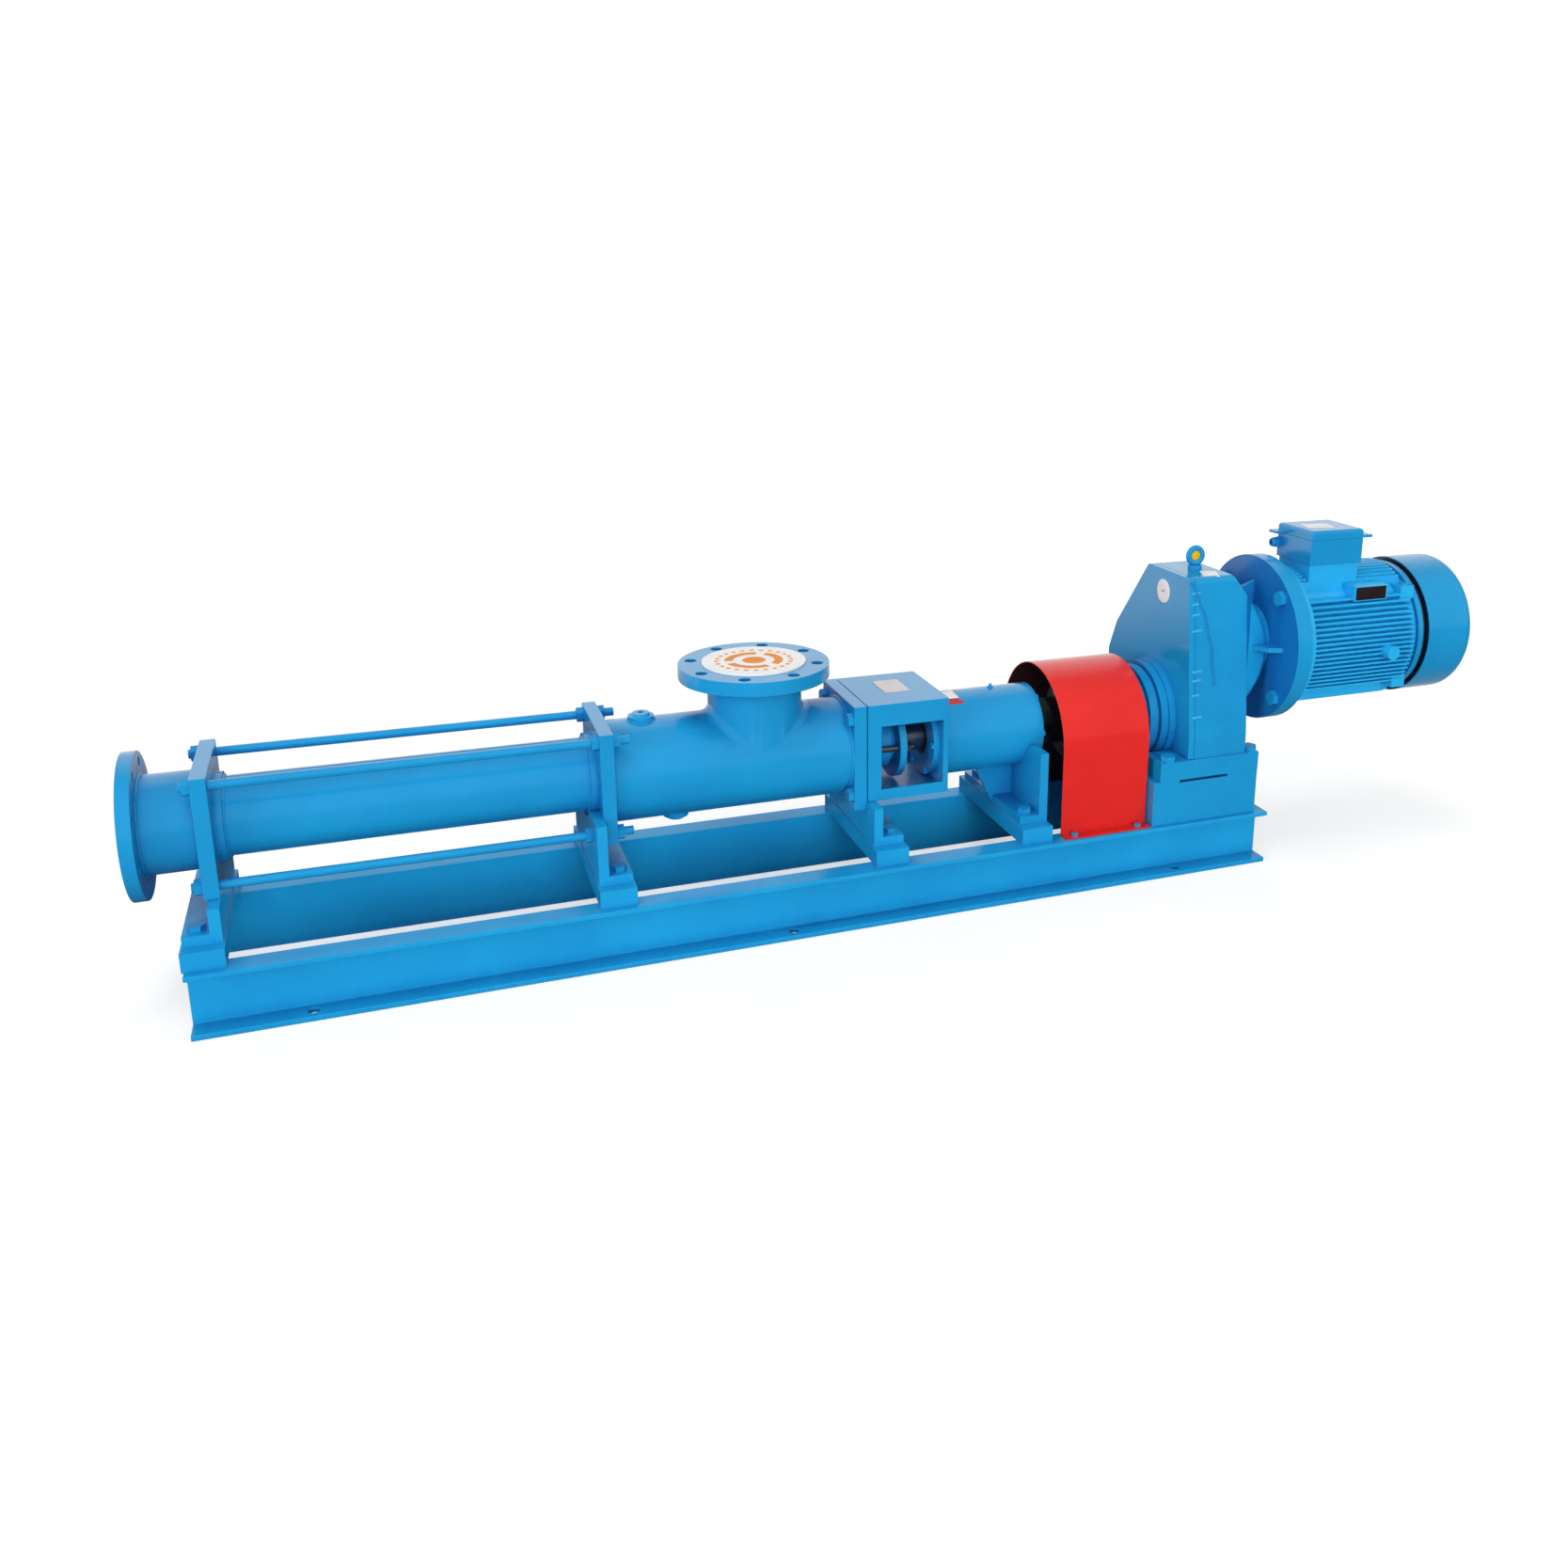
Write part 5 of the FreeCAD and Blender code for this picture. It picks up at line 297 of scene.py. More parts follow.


# Finishes

# depth and reach give the strength and the distance of the painted shade in hollows
def enamel(name, paint, grain, depth=0.65, reach=0.12, coat=0.3):
    """Glossy enamel with faint clouds, painted shade in hollows and rubbed edges."""
    recipe = Recipe(name)
    shader = recipe.shader
    clouds = recipe.patches(cells=5.0, detail=4.0, rough=0.6, band=(0.35, 0.65))
    tone = recipe.mix(clouds, paint.base, paint.deep)
    brushed = recipe.patches(
        cells=16.0, detail=4.0, rough=0.65, band=(0.5, 0.75), levels=(0.0, 0.4), stretch=(0.35, 1.0, 1.0))
    tone = recipe.mix(brushed, tone, paint.deep)
    shaded_hollow = recipe.corners(reach)
    # Painted shade: hollows turn towards the deep shade colour
    tone = recipe.mix(recipe.math("MULTIPLY", shaded_hollow, depth), tone, paint.shade)
    specks = recipe.patches(cells=70.0, detail=5.0, rough=0.7, band=(0.5, 0.7), levels=(0.0, 0.35))
    tone = recipe.mix(recipe.math("MULTIPLY", shaded_hollow, specks), tone, darker(paint.shade, share=0.3))
    wear = recipe.patches(cells=60.0, detail=3.0, rough=0.6, band=(0.45, 0.7), levels=(0.1, 1.0))
    rub = recipe.math("MULTIPLY", recipe.edges(radius=0.0015), wear)
    rub_share = 0.35
    recipe.colour(recipe.mix(recipe.math("MULTIPLY", rub, rub_share), tone, paint.worn))
    shine = recipe.patches(cells=22.0, detail=4.0, rough=0.6, band=(0.3, 0.7), levels=(0.13, 0.24))
    dull_share = 0.25
    shine = recipe.math("ADD", shine, recipe.math("MULTIPLY", shaded_hollow, dull_share))
    recipe.feed(shader, "Roughness", shine)
    waves = recipe.bump(recipe.noise(cells=28.0, detail=2.0), distance=0.0008)
    fine = recipe.bump(recipe.noise(grain.cells, detail=3.0, rough=0.6), grain.depth, waves)
    recipe.feed(shader, "Normal", fine)
    shader.inputs["IOR"].default_value = PAINT_IOR
    shader.inputs["Coat Weight"].default_value = coat
    shader.inputs["Coat Roughness"].default_value = COAT_ROUGHNESS
    return recipe


def machined(name, metal):
    """Turned or ground metal with fine marks."""
    recipe = Recipe(name)
    middle = (0.3, 0.7)
    marks = recipe.noise(cells=90.0, detail=4.0, rough=0.7, stretch=metal.streaks)
    tone = recipe.mix(recipe.span(marks, *middle), metal.base, darker(metal.base, share=0.72))
    film_share = 0.6
    film = recipe.math("MULTIPLY", recipe.corners(distance=0.012), film_share)
    recipe.colour(recipe.mix(film, tone, OILY_FILM))
    rougher = metal.roughness + 0.16
    recipe.feed(recipe.shader, "Roughness", recipe.span(marks, *middle, metal.roughness, rougher))
    recipe.feed(recipe.shader, "Normal", recipe.bump(marks, distance=0.0002))
    recipe.shader.inputs["Metallic"].default_value = 1.0
    return recipe


def plain_grain(name, skin):
    """Rubber, moulded plastic or film with a fine skin."""
    recipe = Recipe(name)
    recipe.shader.inputs["IOR"].default_value = skin.ior
    grain_to_cloud = 8
    cloud = recipe.patches(skin.cells / grain_to_cloud, detail=4.0, rough=0.6, band=(0.3, 0.7))
    dust_share = 0.4
    dust = recipe.math("MULTIPLY", recipe.corners(distance=0.02), dust_share)
    tone = recipe.mix(cloud, skin.base, skin.other)
    recipe.colour(recipe.mix(dust, tone, darker(skin.other, share=0.5)))
    rougher = skin.roughness + 0.1
    recipe.feed(recipe.shader, "Roughness", recipe.choose(cloud, skin.roughness, rougher))
    recipe.feed(recipe.shader, "Normal", recipe.bump(recipe.noise(skin.cells, detail=3.0), skin.depth))
    return recipe


def port_cover_finish():
    """White disc with a generic print in orange: a dot, a ring in three arcs and a ring of dashes."""
    recipe = plain_grain("white_plastic", PORT_DISC_SKIN)
    across = recipe.math("SUBTRACT", recipe.part(recipe.place, "X"), PORT_X)
    along = recipe.part(recipe.place, "Y")
    square = recipe.math("MULTIPLY", across, across)
    square = recipe.math("ADD", square, recipe.math("MULTIPLY", along, along))
    radius = recipe.math("SQRT", square)
    angle = recipe.math("ARCTAN2", along, across)

    def band(middle, width):
        """One within a ring of a given width."""
        away = recipe.math("ABSOLUTE", recipe.math("SUBTRACT", radius, middle))
        return recipe.math("LESS_THAN", away, width / 2)

    def beats(wave, count, threshold):
        """One on evenly spaced stretches around the disc, as many as the count."""
        turn = recipe.math("MULTIPLY", angle, count)
        return recipe.math("GREATER_THAN", recipe.math(wave, turn), threshold)

    dash_count = 24.0
    arc_count = 3.0
    dashes = recipe.math(
        "MULTIPLY", band(middle=0.070, width=0.008), beats("SINE", dash_count, threshold=0.0))
    arcs = recipe.math(
        "MULTIPLY", band(middle=0.047, width=0.016), beats("COSINE", arc_count, threshold=-0.86))
    dot = band(middle=0.0, width=0.044)
    print_area = recipe.math("MAXIMUM", recipe.math("MAXIMUM", arcs, dashes), dot)
    faded = recipe.patches(cells=70.0, detail=4.0, rough=0.7, band=(0.3, 0.7), levels=(0.88, 1.0))
    recipe.repaint(recipe.math("MULTIPLY", print_area, faded), ORANGE)
    return recipe


def guard_finish():
    """Signal-red enamel outside and painted shade in a near-black red inside the arch."""
    recipe = enamel("red_paint", RED, SHEET_GRAIN)
    normal = recipe.facing()
    arch_centre = AXIS_HEIGHT - 0.03
    inside_limit = -0.02
    rise = recipe.math("SUBTRACT", recipe.part(recipe.place, "Z"), arch_centre)
    sideways = recipe.math("MULTIPLY", recipe.part(recipe.place, "Y"), recipe.part(normal, "Y"))
    upwards = recipe.math("MULTIPLY", rise, recipe.part(normal, "Z"))
    upwards = recipe.math("MULTIPLY", upwards, recipe.math("GREATER_THAN", rise, 0.0))
    outwards = recipe.math("ADD", sideways, upwards)
    # Painted shade: faces inside the arch take a near-black red
    recipe.repaint(recipe.math("LESS_THAN", outwards, inside_limit), GUARD_INSIDE_SHADE)
    return recipe


def shield_finish():
    """Enamel of the motor's rear shield, with a painted deep shadow next to the fan cover."""
    recipe = enamel("shield_paint", BLUE, CAST_GRAIN)
    shadow_start = FAN_COVER_START - 0.012
    shadow_full = FAN_COVER_START - 0.009
    shadow = recipe.span(recipe.part(recipe.place, "X"), shadow_start, shadow_full)
    recipe.repaint(shadow, SHIELD_SHADOW)
    return recipe


def rail_finish():
    """Duller enamel of the base rails, in a paler blue as painted light, with painted shade close under the
    flanges.
    """
    recipe = enamel("rail_paint", RAIL_LIT_BLUE, SMOOTH_GRAIN, depth=0.6, reach=0.05, coat=0.0)
    recipe.shader.inputs["IOR"].default_value = RAIL_IOR
    return recipe


def adapter_finish():
    """Enamel of the motor flanges, with painted shade on the side that faces the gear casing."""
    recipe = enamel("adapter_cast", BLUE, CAST_GRAIN, coat=0.0)
    along_pump = recipe.part(recipe.facing(), "X")
    shadow = recipe.span(along_pump, low=-0.75, high=-0.98, to_high=0.85)
    recipe.repaint(shadow, ADAPTER_SHADOW)
    return recipe


def plate_finish():
    """Pale metal of the rating plates, and black for the one on the motor."""
    recipe = plain_grain("plate", PLATE_SKIN)
    on_motor = recipe.math("GREATER_THAN", recipe.part(recipe.place, "X"), MOTOR_START)
    recipe.repaint(on_motor, BLACK_PLATE)
    return recipe


def make_materials():
    """Every finish by its slot or its own name."""
    recipes = {
        "blue_paint": enamel("blue_paint", BLUE, SMOOTH_GRAIN),
        "blue_cast": enamel("blue_cast", BLUE, CAST_GRAIN),
        # Painted light: the fins take a paler blue and little painted shade
        "fin_cast": enamel("fin_cast", FIN_LIT_BLUE, CAST_GRAIN, depth=0.1),
        "seam_shade_paint": enamel("seam_shade_paint", SEAM_SHADE_BLUE, CAST_GRAIN, depth=0.3),
        "mark_lit_paint": enamel("mark_lit_paint", MARK_LIT_BLUE, CAST_GRAIN, depth=0.0),
        "shield_paint": shield_finish(),
        "rail_paint": rail_finish(),
        "adapter_cast": adapter_finish(),
        "red_paint": guard_finish(),
        "white_plastic": port_cover_finish(),
        "plate": plate_finish(),
    }
    for name, metal in METALS.items():
        recipes[name] = machined(name, metal)
    for name, skin in SKINS.items():
        recipes[name] = plain_grain(name, skin)
    return {name: recipe.material for name, recipe in recipes.items()}


MATERIALS = make_materials()

# CAD nodes whose finish isn't that of their slot
OWN_FINISH = {
    "motor_frame": "fin_cast",
    "motor_rear_shield": "shield_paint",
    "base_rail_front": "rail_paint",
    "base_rail_rear": "rail_paint",
    "support_feet": "rail_paint",
    "bearer_bars": "rail_paint",
    "motor_adapter": "adapter_cast",
    "motor_flange_shield": "adapter_cast",
}

# Width of the rounded edges of the large painted nodes, in metres
SOFTENED = {
    "base_rail_front": 0.0012,
    "base_rail_rear": 0.0012,
    "gearbox_pedestal": 0.0015,
    "bearing_bracket": 0.0012,
    "suction_casing": 0.0012,
    "discharge_casing": 0.0012,
    "gearbox_front_cover": 0.0015,
    "terminal_box": 0.001,
    "terminal_box_lid": 0.001,
    "coupling_guard": 0.0006,
}

# Limits for the modifiers and for smooth shading
WELD_DISTANCE = 0.00001
FLAT_ANGLE = math.radians(0.4)
SHARP_ANGLE = math.radians(40)


def soften_edges(node, width):
    """Round off the sharp edges of a CAD node without touching its mesh."""
    weld = node.modifiers.new("weld", "WELD")
    weld.merge_threshold = WELD_DISTANCE
    flats = node.modifiers.new("flats", "DECIMATE")
    flats.decimate_type = "DISSOLVE"
    flats.angle_limit = FLAT_ANGLE
    bevel = node.modifiers.new("bevel", "BEVEL")
    bevel.width = width
    bevel.segments = 2
    bevel.limit_method = "ANGLE"
    bevel.angle_limit = SHARP_ANGLE
    bevel.use_clamp_overlap = False
    normals = node.modifiers.new("normals", "WEIGHTED_NORMAL")
    normals.keep_sharp = False


def dress_nodes():
    """Give every CAD node its finish and soften the edges of the large painted ones."""
    for name, node in NODES.items():
        finish = MATERIALS[OWN_FINISH.get(name, SLOT_OF[name])]
        for material_slot in node.material_slots:
            material_slot.material = finish
        if not node.material_slots:
            node.data.materials.append(finish)
        if name in SOFTENED:
            soften_edges(node, SOFTENED[name])


# Mesh helpers

def new_piece(name, verts, faces, finish, smooth=True):
    """A mesh piece that rides on the frame body."""
    mesh = bpy.data.meshes.new(name)
    mesh.from_pydata([tuple(vert) for vert in verts], [], faces)
    mesh.validate()
    mesh.materials.append(MATERIALS[finish])
    piece = bpy.data.objects.new(name, mesh)
    bpy.context.scene.collection.objects.link(piece)
    if smooth:
        mesh.shade_smooth()
        mesh.set_sharp_from_angle(angle=SHARP_ANGLE)
    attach(piece, "frame")


def circle_points(centre, normal, radius, count):
    """Points of a circle around a centre."""
    normal = Vector(normal).normalized()
    side = normal.orthogonal().normalized()
    up = normal.cross(side)
    points = []
    for index in range(count):
        angle = 2 * math.pi * index / count
        points.append(Vector(centre) + radius * (math.cos(angle) * side + math.sin(angle) * up))
    return points


def resample(points, spacing, closed):
    """Points at an even spacing along a line of corners."""
    corners = list(points) + ([points[0]] if closed else [])
    lengths = [(b - a).length for a, b in zip(corners, corners[1:])]
    total = sum(lengths)
    fewest = 6
    count = max(int(total / spacing), fewest)
    made = []
    position, reached = 0, 0.0
    for index in range(count if closed else count + 1):
        target = total * index / count
        while position < len(lengths) - 1 and reached + lengths[position] < target:
            reached += lengths[position]
            position += 1
        share = (target - reached) / lengths[position]
        made.append(corners[position].lerp(corners[position + 1], share))
    return made


# Weld beads: lengths in metres, ripples as shares of the radius
BEAD_RADIUS = 0.0028
CHAMBER_BEAD_RADIUS = 0.0032
BOSS_BEAD_RADIUS = 0.0022
BEAD_LIFT = 0.0008
BEAD_SPACING = 0.0018
BEAD_SIDES = 8
BEAD_RIPPLES = (0.86, 1.0, 1.07)
BEAD_SPREAD = (0.95, 1.05)
BEAD_END = 0.35
BEAD_UPRIGHT = Vector((0.31, 0.17, 0.93))
RING_STEPS = 96
VENT_BOSS_X = CASING_LOW.x + 0.092
DRAIN_BOSS_X = CASING_LOW.x + 0.150
BOSS_BEAD_REACH = BOSS_RADIUS + 0.0005


def bead_mesh(path, radius, closed):
    """Rippled weld bead along a path of near points."""
    verts = []
    faces = []
    count = len(path)
    for index, point in enumerate(path):
        if closed:
            before, after = path[index - 1], path[(index + 1) % count]
        else:
            before, after = path[max(index - 1, 0)], path[min(index + 1, count - 1)]
        along = (after - before).normalized()
        side = along.cross(BEAD_UPRIGHT).normalized()
        up = side.cross(along)
        ripple = BEAD_RIPPLES[index % len(BEAD_RIPPLES)] * random.uniform(*BEAD_SPREAD)
        if not closed and index in (0, count - 1):
            ripple = BEAD_END
        for step in range(BEAD_SIDES):
            angle = 2 * math.pi * step / BEAD_SIDES
            verts.append(point + radius * ripple * (math.cos(angle) * side + math.sin(angle) * up))
    rings = count if closed else count - 1
    for index in range(rings):
        first = index * BEAD_SIDES
        second = (index + 1) % count * BEAD_SIDES
        for step in range(BEAD_SIDES):
            following = (step + 1) % BEAD_SIDES
            faces.append((first + step, first + following, second + following, second + step))
    if not closed:
        faces.append(tuple(range(BEAD_SIDES)))
        faces.append(tuple((count - 1) * BEAD_SIDES + step for step in reversed(range(BEAD_SIDES))))
    return verts, faces


def add_beads(name, paths, radius=BEAD_RADIUS, finish="blue_paint"):
    """One piece made of several weld beads."""
    verts, faces = [], []
    for points, closed in paths:
        shift = len(verts)
        more, quads = bead_mesh(resample(points, BEAD_SPACING, closed), radius, closed)
        verts += more
        faces += [tuple(shift + item for item in quad) for quad in quads]
    new_piece(name, verts, faces, finish)


def ring_bead(corner, side, radius):
    """Closed bead round a tube on the pump's axis, on one side of a corner."""
    centre = (corner + side * BEAD_LIFT, 0, AXIS_HEIGHT)
    return circle_points(centre, ALONG_PUMP, radius + BEAD_LIFT, RING_STEPS), True


def boss_bead(x, side):
    """Closed bead where an upright boss meets the chamber, above or below the axis."""
    points = []
    for index in range(RING_STEPS):
        angle = 2 * math.pi * index / RING_STEPS
        y = BOSS_BEAD_REACH * math.sin(angle)
        rise = math.sqrt(CHAMBER_RADIUS * CHAMBER_RADIUS - y * y)
        points.append(Vector((x + BOSS_BEAD_REACH * math.cos(angle), y, AXIS_HEIGHT + side * rise)))
    return points, True


def on_chamber(across, angle, sink):
    """Point of the chamber at a distance from the suction port's axis, sunk below the surface."""
    y = across * math.sin(angle)
    rise = math.sqrt(max((CHAMBER_RADIUS - sink) ** 2 - y * y, 0.0))
    return Vector((PORT_X + across * math.cos(angle), y, AXIS_HEIGHT + rise))


def add_port_fillet():
    """Hollow fillet between the suction neck and the chamber, widest along the pump."""
    count = 120
    steps = 7
    least_reach = 0.004
    extra_reach = 0.016
    overlap = 0.0004
    root_inset = 0.002
    root_sink = 0.003
    widest = 0.9985 * CHAMBER_RADIUS
    smallest_sine = 0.01
    verts, faces = [], []
    for index in range(count):
        angle = 2 * math.pi * index / count
        reach = least_reach + extra_reach * abs(math.cos(angle))
        reach = min(reach, widest / max(abs(math.sin(angle)), smallest_sine) - PORT_NECK_RADIUS)
        corner = on_chamber(PORT_NECK_RADIUS, angle, 0.0)
        out = Vector((math.cos(angle), math.sin(angle), 0.0))
        high = corner + Vector((0.0, 0.0, reach)) - overlap * out
        low = on_chamber(PORT_NECK_RADIUS + reach, angle, overlap)
        for step in range(steps):
            share = step / (steps - 1)
            near = high.lerp(corner, share)
            verts.append(near.lerp(corner.lerp(low, share), share))
        verts.append(on_chamber(PORT_NECK_RADIUS - root_inset, angle, root_sink))
    ring = steps + 1
    for index in range(count):
        first, second = index * ring, (index + 1) % count * ring
        for step in range(ring):
            after = (step + 1) % ring
            faces.append((first + step, first + after, second + after, second + step))
    new_piece("port_fillet", verts, faces, "blue_cast")


def weld_beads():
    """Beads where tubes, plates, flanges and bosses are joined."""
    add_beads("discharge_welds", [
        ring_bead(DISCHARGE_LOW.x + DISCHARGE_FLANGE_THICKNESS, 1, DISCHARGE_NECK_RADIUS),
        ring_bead(DISCHARGE_HIGH.x - PLATE_THICKNESS, -1, DISCHARGE_NECK_RADIUS),
    ])
    add_beads("stator_welds", [
        ring_bead(STATOR_LOW.x + COLLAR_WIDTH, 1, STATOR_RADIUS),
        ring_bead(STATOR_HIGH.x - COLLAR_WIDTH, -1, STATOR_RADIUS),
    ])
    under_flange = (PORT_X, 0, PORT_LOW.z - SUCTION_FLANGE_THICKNESS - BEAD_LIFT)
    add_beads("chamber_welds", [
        ring_bead(CASING_LOW.x + PLATE_THICKNESS, 1, CHAMBER_RADIUS),
        ring_bead(CASING_HIGH.x - PLATE_THICKNESS, -1, CHAMBER_RADIUS),
        (circle_points(under_flange, UP, PORT_NECK_RADIUS + BEAD_LIFT, RING_STEPS), True),
    ], CHAMBER_BEAD_RADIUS)
    add_port_fillet()
    add_beads("boss_welds", [
        boss_bead(VENT_BOSS_X, 1),
        boss_bead(DRAIN_BOSS_X, -1),
    ], BOSS_BEAD_RADIUS)
    add_beads("housing_welds", [
        ring_bead(BRACKET_END, 1, HOUSING_RADIUS),
    ])


# Labels and turned pieces

LABEL_THICKNESS = 0.0006
LABEL_SINK = 0.0003
CORNER_STEPS = 8
TURNED_SIDES = 32
HEXAGON = 6


@lru_cache
def surface(name):
    """Search tree of a CAD node's faces."""
    mesh = NODES[name].data
    verts = [vert.co.copy() for vert in mesh.vertices]
    return BVHTree.FromPolygons(verts, [tuple(face.vertices) for face in mesh.polygons])


def landing(nodes, start, direction):
    """Nearest point on some CAD nodes along a direction."""
    found = None
    for name in nodes:
        place, _, _, distance = surface(name).ray_cast(Vector(start), Vector(direction))
        if place and (found is None or distance < found[1]):
            found = (place, distance)
    if found is None:
        raise ValueError(f"nothing of {nodes} lies under {start}")
    return found[0]


def rounded_outline(width, height, corner):
    """Points of a rectangle with rounded corners around the origin."""
    points = []
    for quarter, (across, up) in enumerate(((1, 1), (-1, 1), (-1, -1), (1, -1))):
        middle = (across * (width / 2 - corner), up * (height / 2 - corner))
        for step in range(CORNER_STEPS):
            angle = math.pi / 2 * (quarter + step / (CORNER_STEPS - 1))
            points.append((
                middle[0] + corner * math.cos(angle),
                middle[1] + corner * math.sin(angle),
            ))
    return points


def sticker(name, nodes, centre, out, up, size, corner, finish, lift=LABEL_THICKNESS):
    """Thin label that lies on the surface of the nodes under it."""
    out = Vector(out).normalized()
    up = Vector(up).normalized()
    across = up.cross(out).normalized()
    outline = rounded_outline(size[0], size[1], corner)
    # Share of the outline and height above the surface
    rings = ((0.02, lift), (0.5, lift), (0.96, lift), (1.0, 0.7 * lift), (1.0, -LABEL_SINK))
    start_height = 0.04
    verts = []
    for share, height in rings:
        for side, rise in outline:
            place = Vector(centre) + share * (side * across + rise * up)
            ground = landing(nodes, place + start_height * out, -out)
            verts.append(ground + height * out)
    count = len(outline)
    faces = [tuple(range(count))]
    for ring in range(len(rings) - 1):
        for index in range(count):
            after = (index + 1) % count
            low, high = ring * count, (ring + 1) * count
            faces.append((low + index, high + index, high + after, low + after))
    new_piece(name, verts, faces, finish)


def turned(name, centre, axis, profile, finish, sides=TURNED_SIDES):
    """Solid of revolution from pairs of radius and height along an axis."""
    verts, faces = [], []
    for radius, height in profile:
        middle = Vector(centre) + height * Vector(axis).normalized()
        verts += circle_points(middle, axis, radius, sides)
    for ring in range(len(profile) - 1):
        for index in range(sides):
            after = (index + 1) % sides
            low, high = ring * sides, (ring + 1) * sides
            faces.append((low + index, low + after, high + after, high + index))
    faces.append(tuple(reversed(range(sides))))
    faces.append(tuple((len(profile) - 1) * sides + index for index in range(sides)))
    new_piece(name, verts, faces, finish, smooth=sides > HEXAGON)


# Gear casing: places and profiles in metres
GEAR_CASING = ("gearbox_housing", "gearbox_front_cover")
CASING_LABEL_PLACE = (GEAR_CASING_START, -0.032, 0.579)
CROWN_LABEL_PLACE = (0.911, -0.097, 0.62)
EYE_PLACE = (
    (EYEBOLT_LOW.x + EYEBOLT_HIGH.x) / 2,
    (EYEBOLT_LOW.y + EYEBOLT_HIGH.y) / 2 + 0.004,
    0.6545,
)
EYE_PLUG_PROFILE = ((0.0085, 0.0), (0.0108, 0.002), (0.0108, 0.006), (0.0085, 0.008), (0.003, 0.0085))
BEFORE_CASING = -0.4

# Casting seam on the front side: corners as x and height, lengths in metres
SEAM_LINE = (
    (0.8445, 0.618), (0.857, 0.602), (0.8735, 0.560), (0.887, 0.517), (0.896, 0.456), (0.900, 0.400),
)
SEAM_SPACING = 0.004
SEAM_RADIUS = 0.0048
SEAM_SINK = 0.0026
SEAM_WAVE = 0.0016
SEAM_WAVE_RADIANS_PER_METRE = 95.0
SEAM_SCATTER = 0.0004

# Short casting marks below each other on the front side, in metres
MARK_HEIGHTS = (0.593, 0.571, 0.549, 0.516, 0.432, 0.4136, 0.383, 0.337)
MARK_START = 0.848
MARK_SCATTER = (-0.001, 0.002)
MARK_LENGTHS = (0.019, 0.027)
MARK_RISE = 0.002
MARK_RADIUS = 0.0034
MARK_SINK = 0.0018


def add_casing_labels():
    """Round label with a mark on the gear casing's face, and a label on its crown."""
    sticker("casing_label", ["gearbox_front_cover"], CASING_LABEL_PLACE, out=TO_DISCHARGE, up=UP,
            size=(0.050, 0.050), corner=0.0249, finish="label_white", lift=0.001)
    sticker("casing_label_mark", ["gearbox_front_cover"], CASING_LABEL_PLACE, out=TO_DISCHARGE, up=UP,
            size=(0.012, 0.003), corner=0.0014, finish="label_grey", lift=0.0016)
    sticker("crown_label", GEAR_CASING, CROWN_LABEL_PLACE, out=UP, up=(0.4, 1, 0),
            size=(0.034, 0.046), corner=0.002, finish="label_white")


def in_front_side(x, z, sink):
    """Point sunk a little into the front side of the gear casing."""
    return landing(GEAR_CASING, (x, BEFORE_CASING, z), TO_BACK) + Vector((0, sink, 0))


def add_casting_seam():
    """Uneven seam down the front side of the gear casing, in a darker blue as painted shade."""
    corners = [Vector((x, 0.0, z)) for x, z in SEAM_LINE]
    seam = []
    for point in resample(corners, SEAM_SPACING, False):
        wave = SEAM_WAVE * math.sin(SEAM_WAVE_RADIANS_PER_METRE * point.z)
        wave += random.uniform(-SEAM_SCATTER, SEAM_SCATTER)
        seam.append(in_front_side(point.x + wave, point.z, SEAM_SINK))
    add_beads("casting_seam", [(seam, False)], SEAM_RADIUS, "seam_shade_paint")


def add_casting_marks():
    """Short marks beside the seam, of uneven start and length, in a paler blue as painted highlight."""
    paths = []
    for height in MARK_HEIGHTS:
        start = MARK_START + random.uniform(*MARK_SCATTER)
        length = random.uniform(*MARK_LENGTHS)
        ends = [
            in_front_side(start + share * length, height + MARK_RISE * share, MARK_SINK)
            for share in (0.0, 0.5, 1.0)
        ]
        paths.append((ends, False))
    add_beads("casting_marks", paths, MARK_RADIUS, "mark_lit_paint")


def gear_casing_details():
    """Labels, seam and marks on the gear casing, and the plug in the eyebolt."""
    add_casing_labels()
    turned("eyebolt_plug", EYE_PLACE, TO_FRONT, EYE_PLUG_PROFILE, "yellow_plastic")
    add_casting_seam()
    add_casting_marks()


# Fittings: places, and profiles as pairs of radius and height, in metres
NIPPLE_PLACE = (0.466, 0.0, HOUSING_TOP - 0.0008)
NIPPLE_BASE_PROFILE = ((0.006, 0.0), (0.006, 0.0035), (0.0052, 0.0042))
NIPPLE_PROFILE = (
    (0.0032, 0.003), (0.0032, 0.0055), (0.0023, 0.006), (0.0023, 0.007),
    (0.0032, 0.0076), (0.0032, 0.0085), (0.002, 0.0095),
)
GLAND_PLACE = (TERMINAL_BOX_START + 0.0005, MOTOR_Y + 0.035, 0.668)
GLAND_NUT_PROFILE = ((0.0125, 0.0), (0.0125, 0.008), (0.0115, 0.009))
GLAND_PROFILE = ((0.0098, 0.008), (0.0098, 0.016), (0.0085, 0.019), (0.006, 0.0195), (0.0055, 0.013))
HOUSING_LABEL_PLACE = (0.366, -0.020, HOUSING_TOP)
PANEL_PLACE = (0.368, -0.013, HOUSING_TOP)
LEANING_UP = (0, -0.2, 1)
LID_LABEL_PLACE = (1.172, -0.095, LID_TOP)
PLATE_MARGIN = 0.001


def add_grease_nipple():
    """Grease nipple with a hexagon base on top of the bearing housing."""
    turned("grease_nipple_base", NIPPLE_PLACE, UP, NIPPLE_BASE_PROFILE,
           "blue_paint", sides=HEXAGON)
    turned("grease_nipple", NIPPLE_PLACE, UP, NIPPLE_PROFILE, "blue_paint")


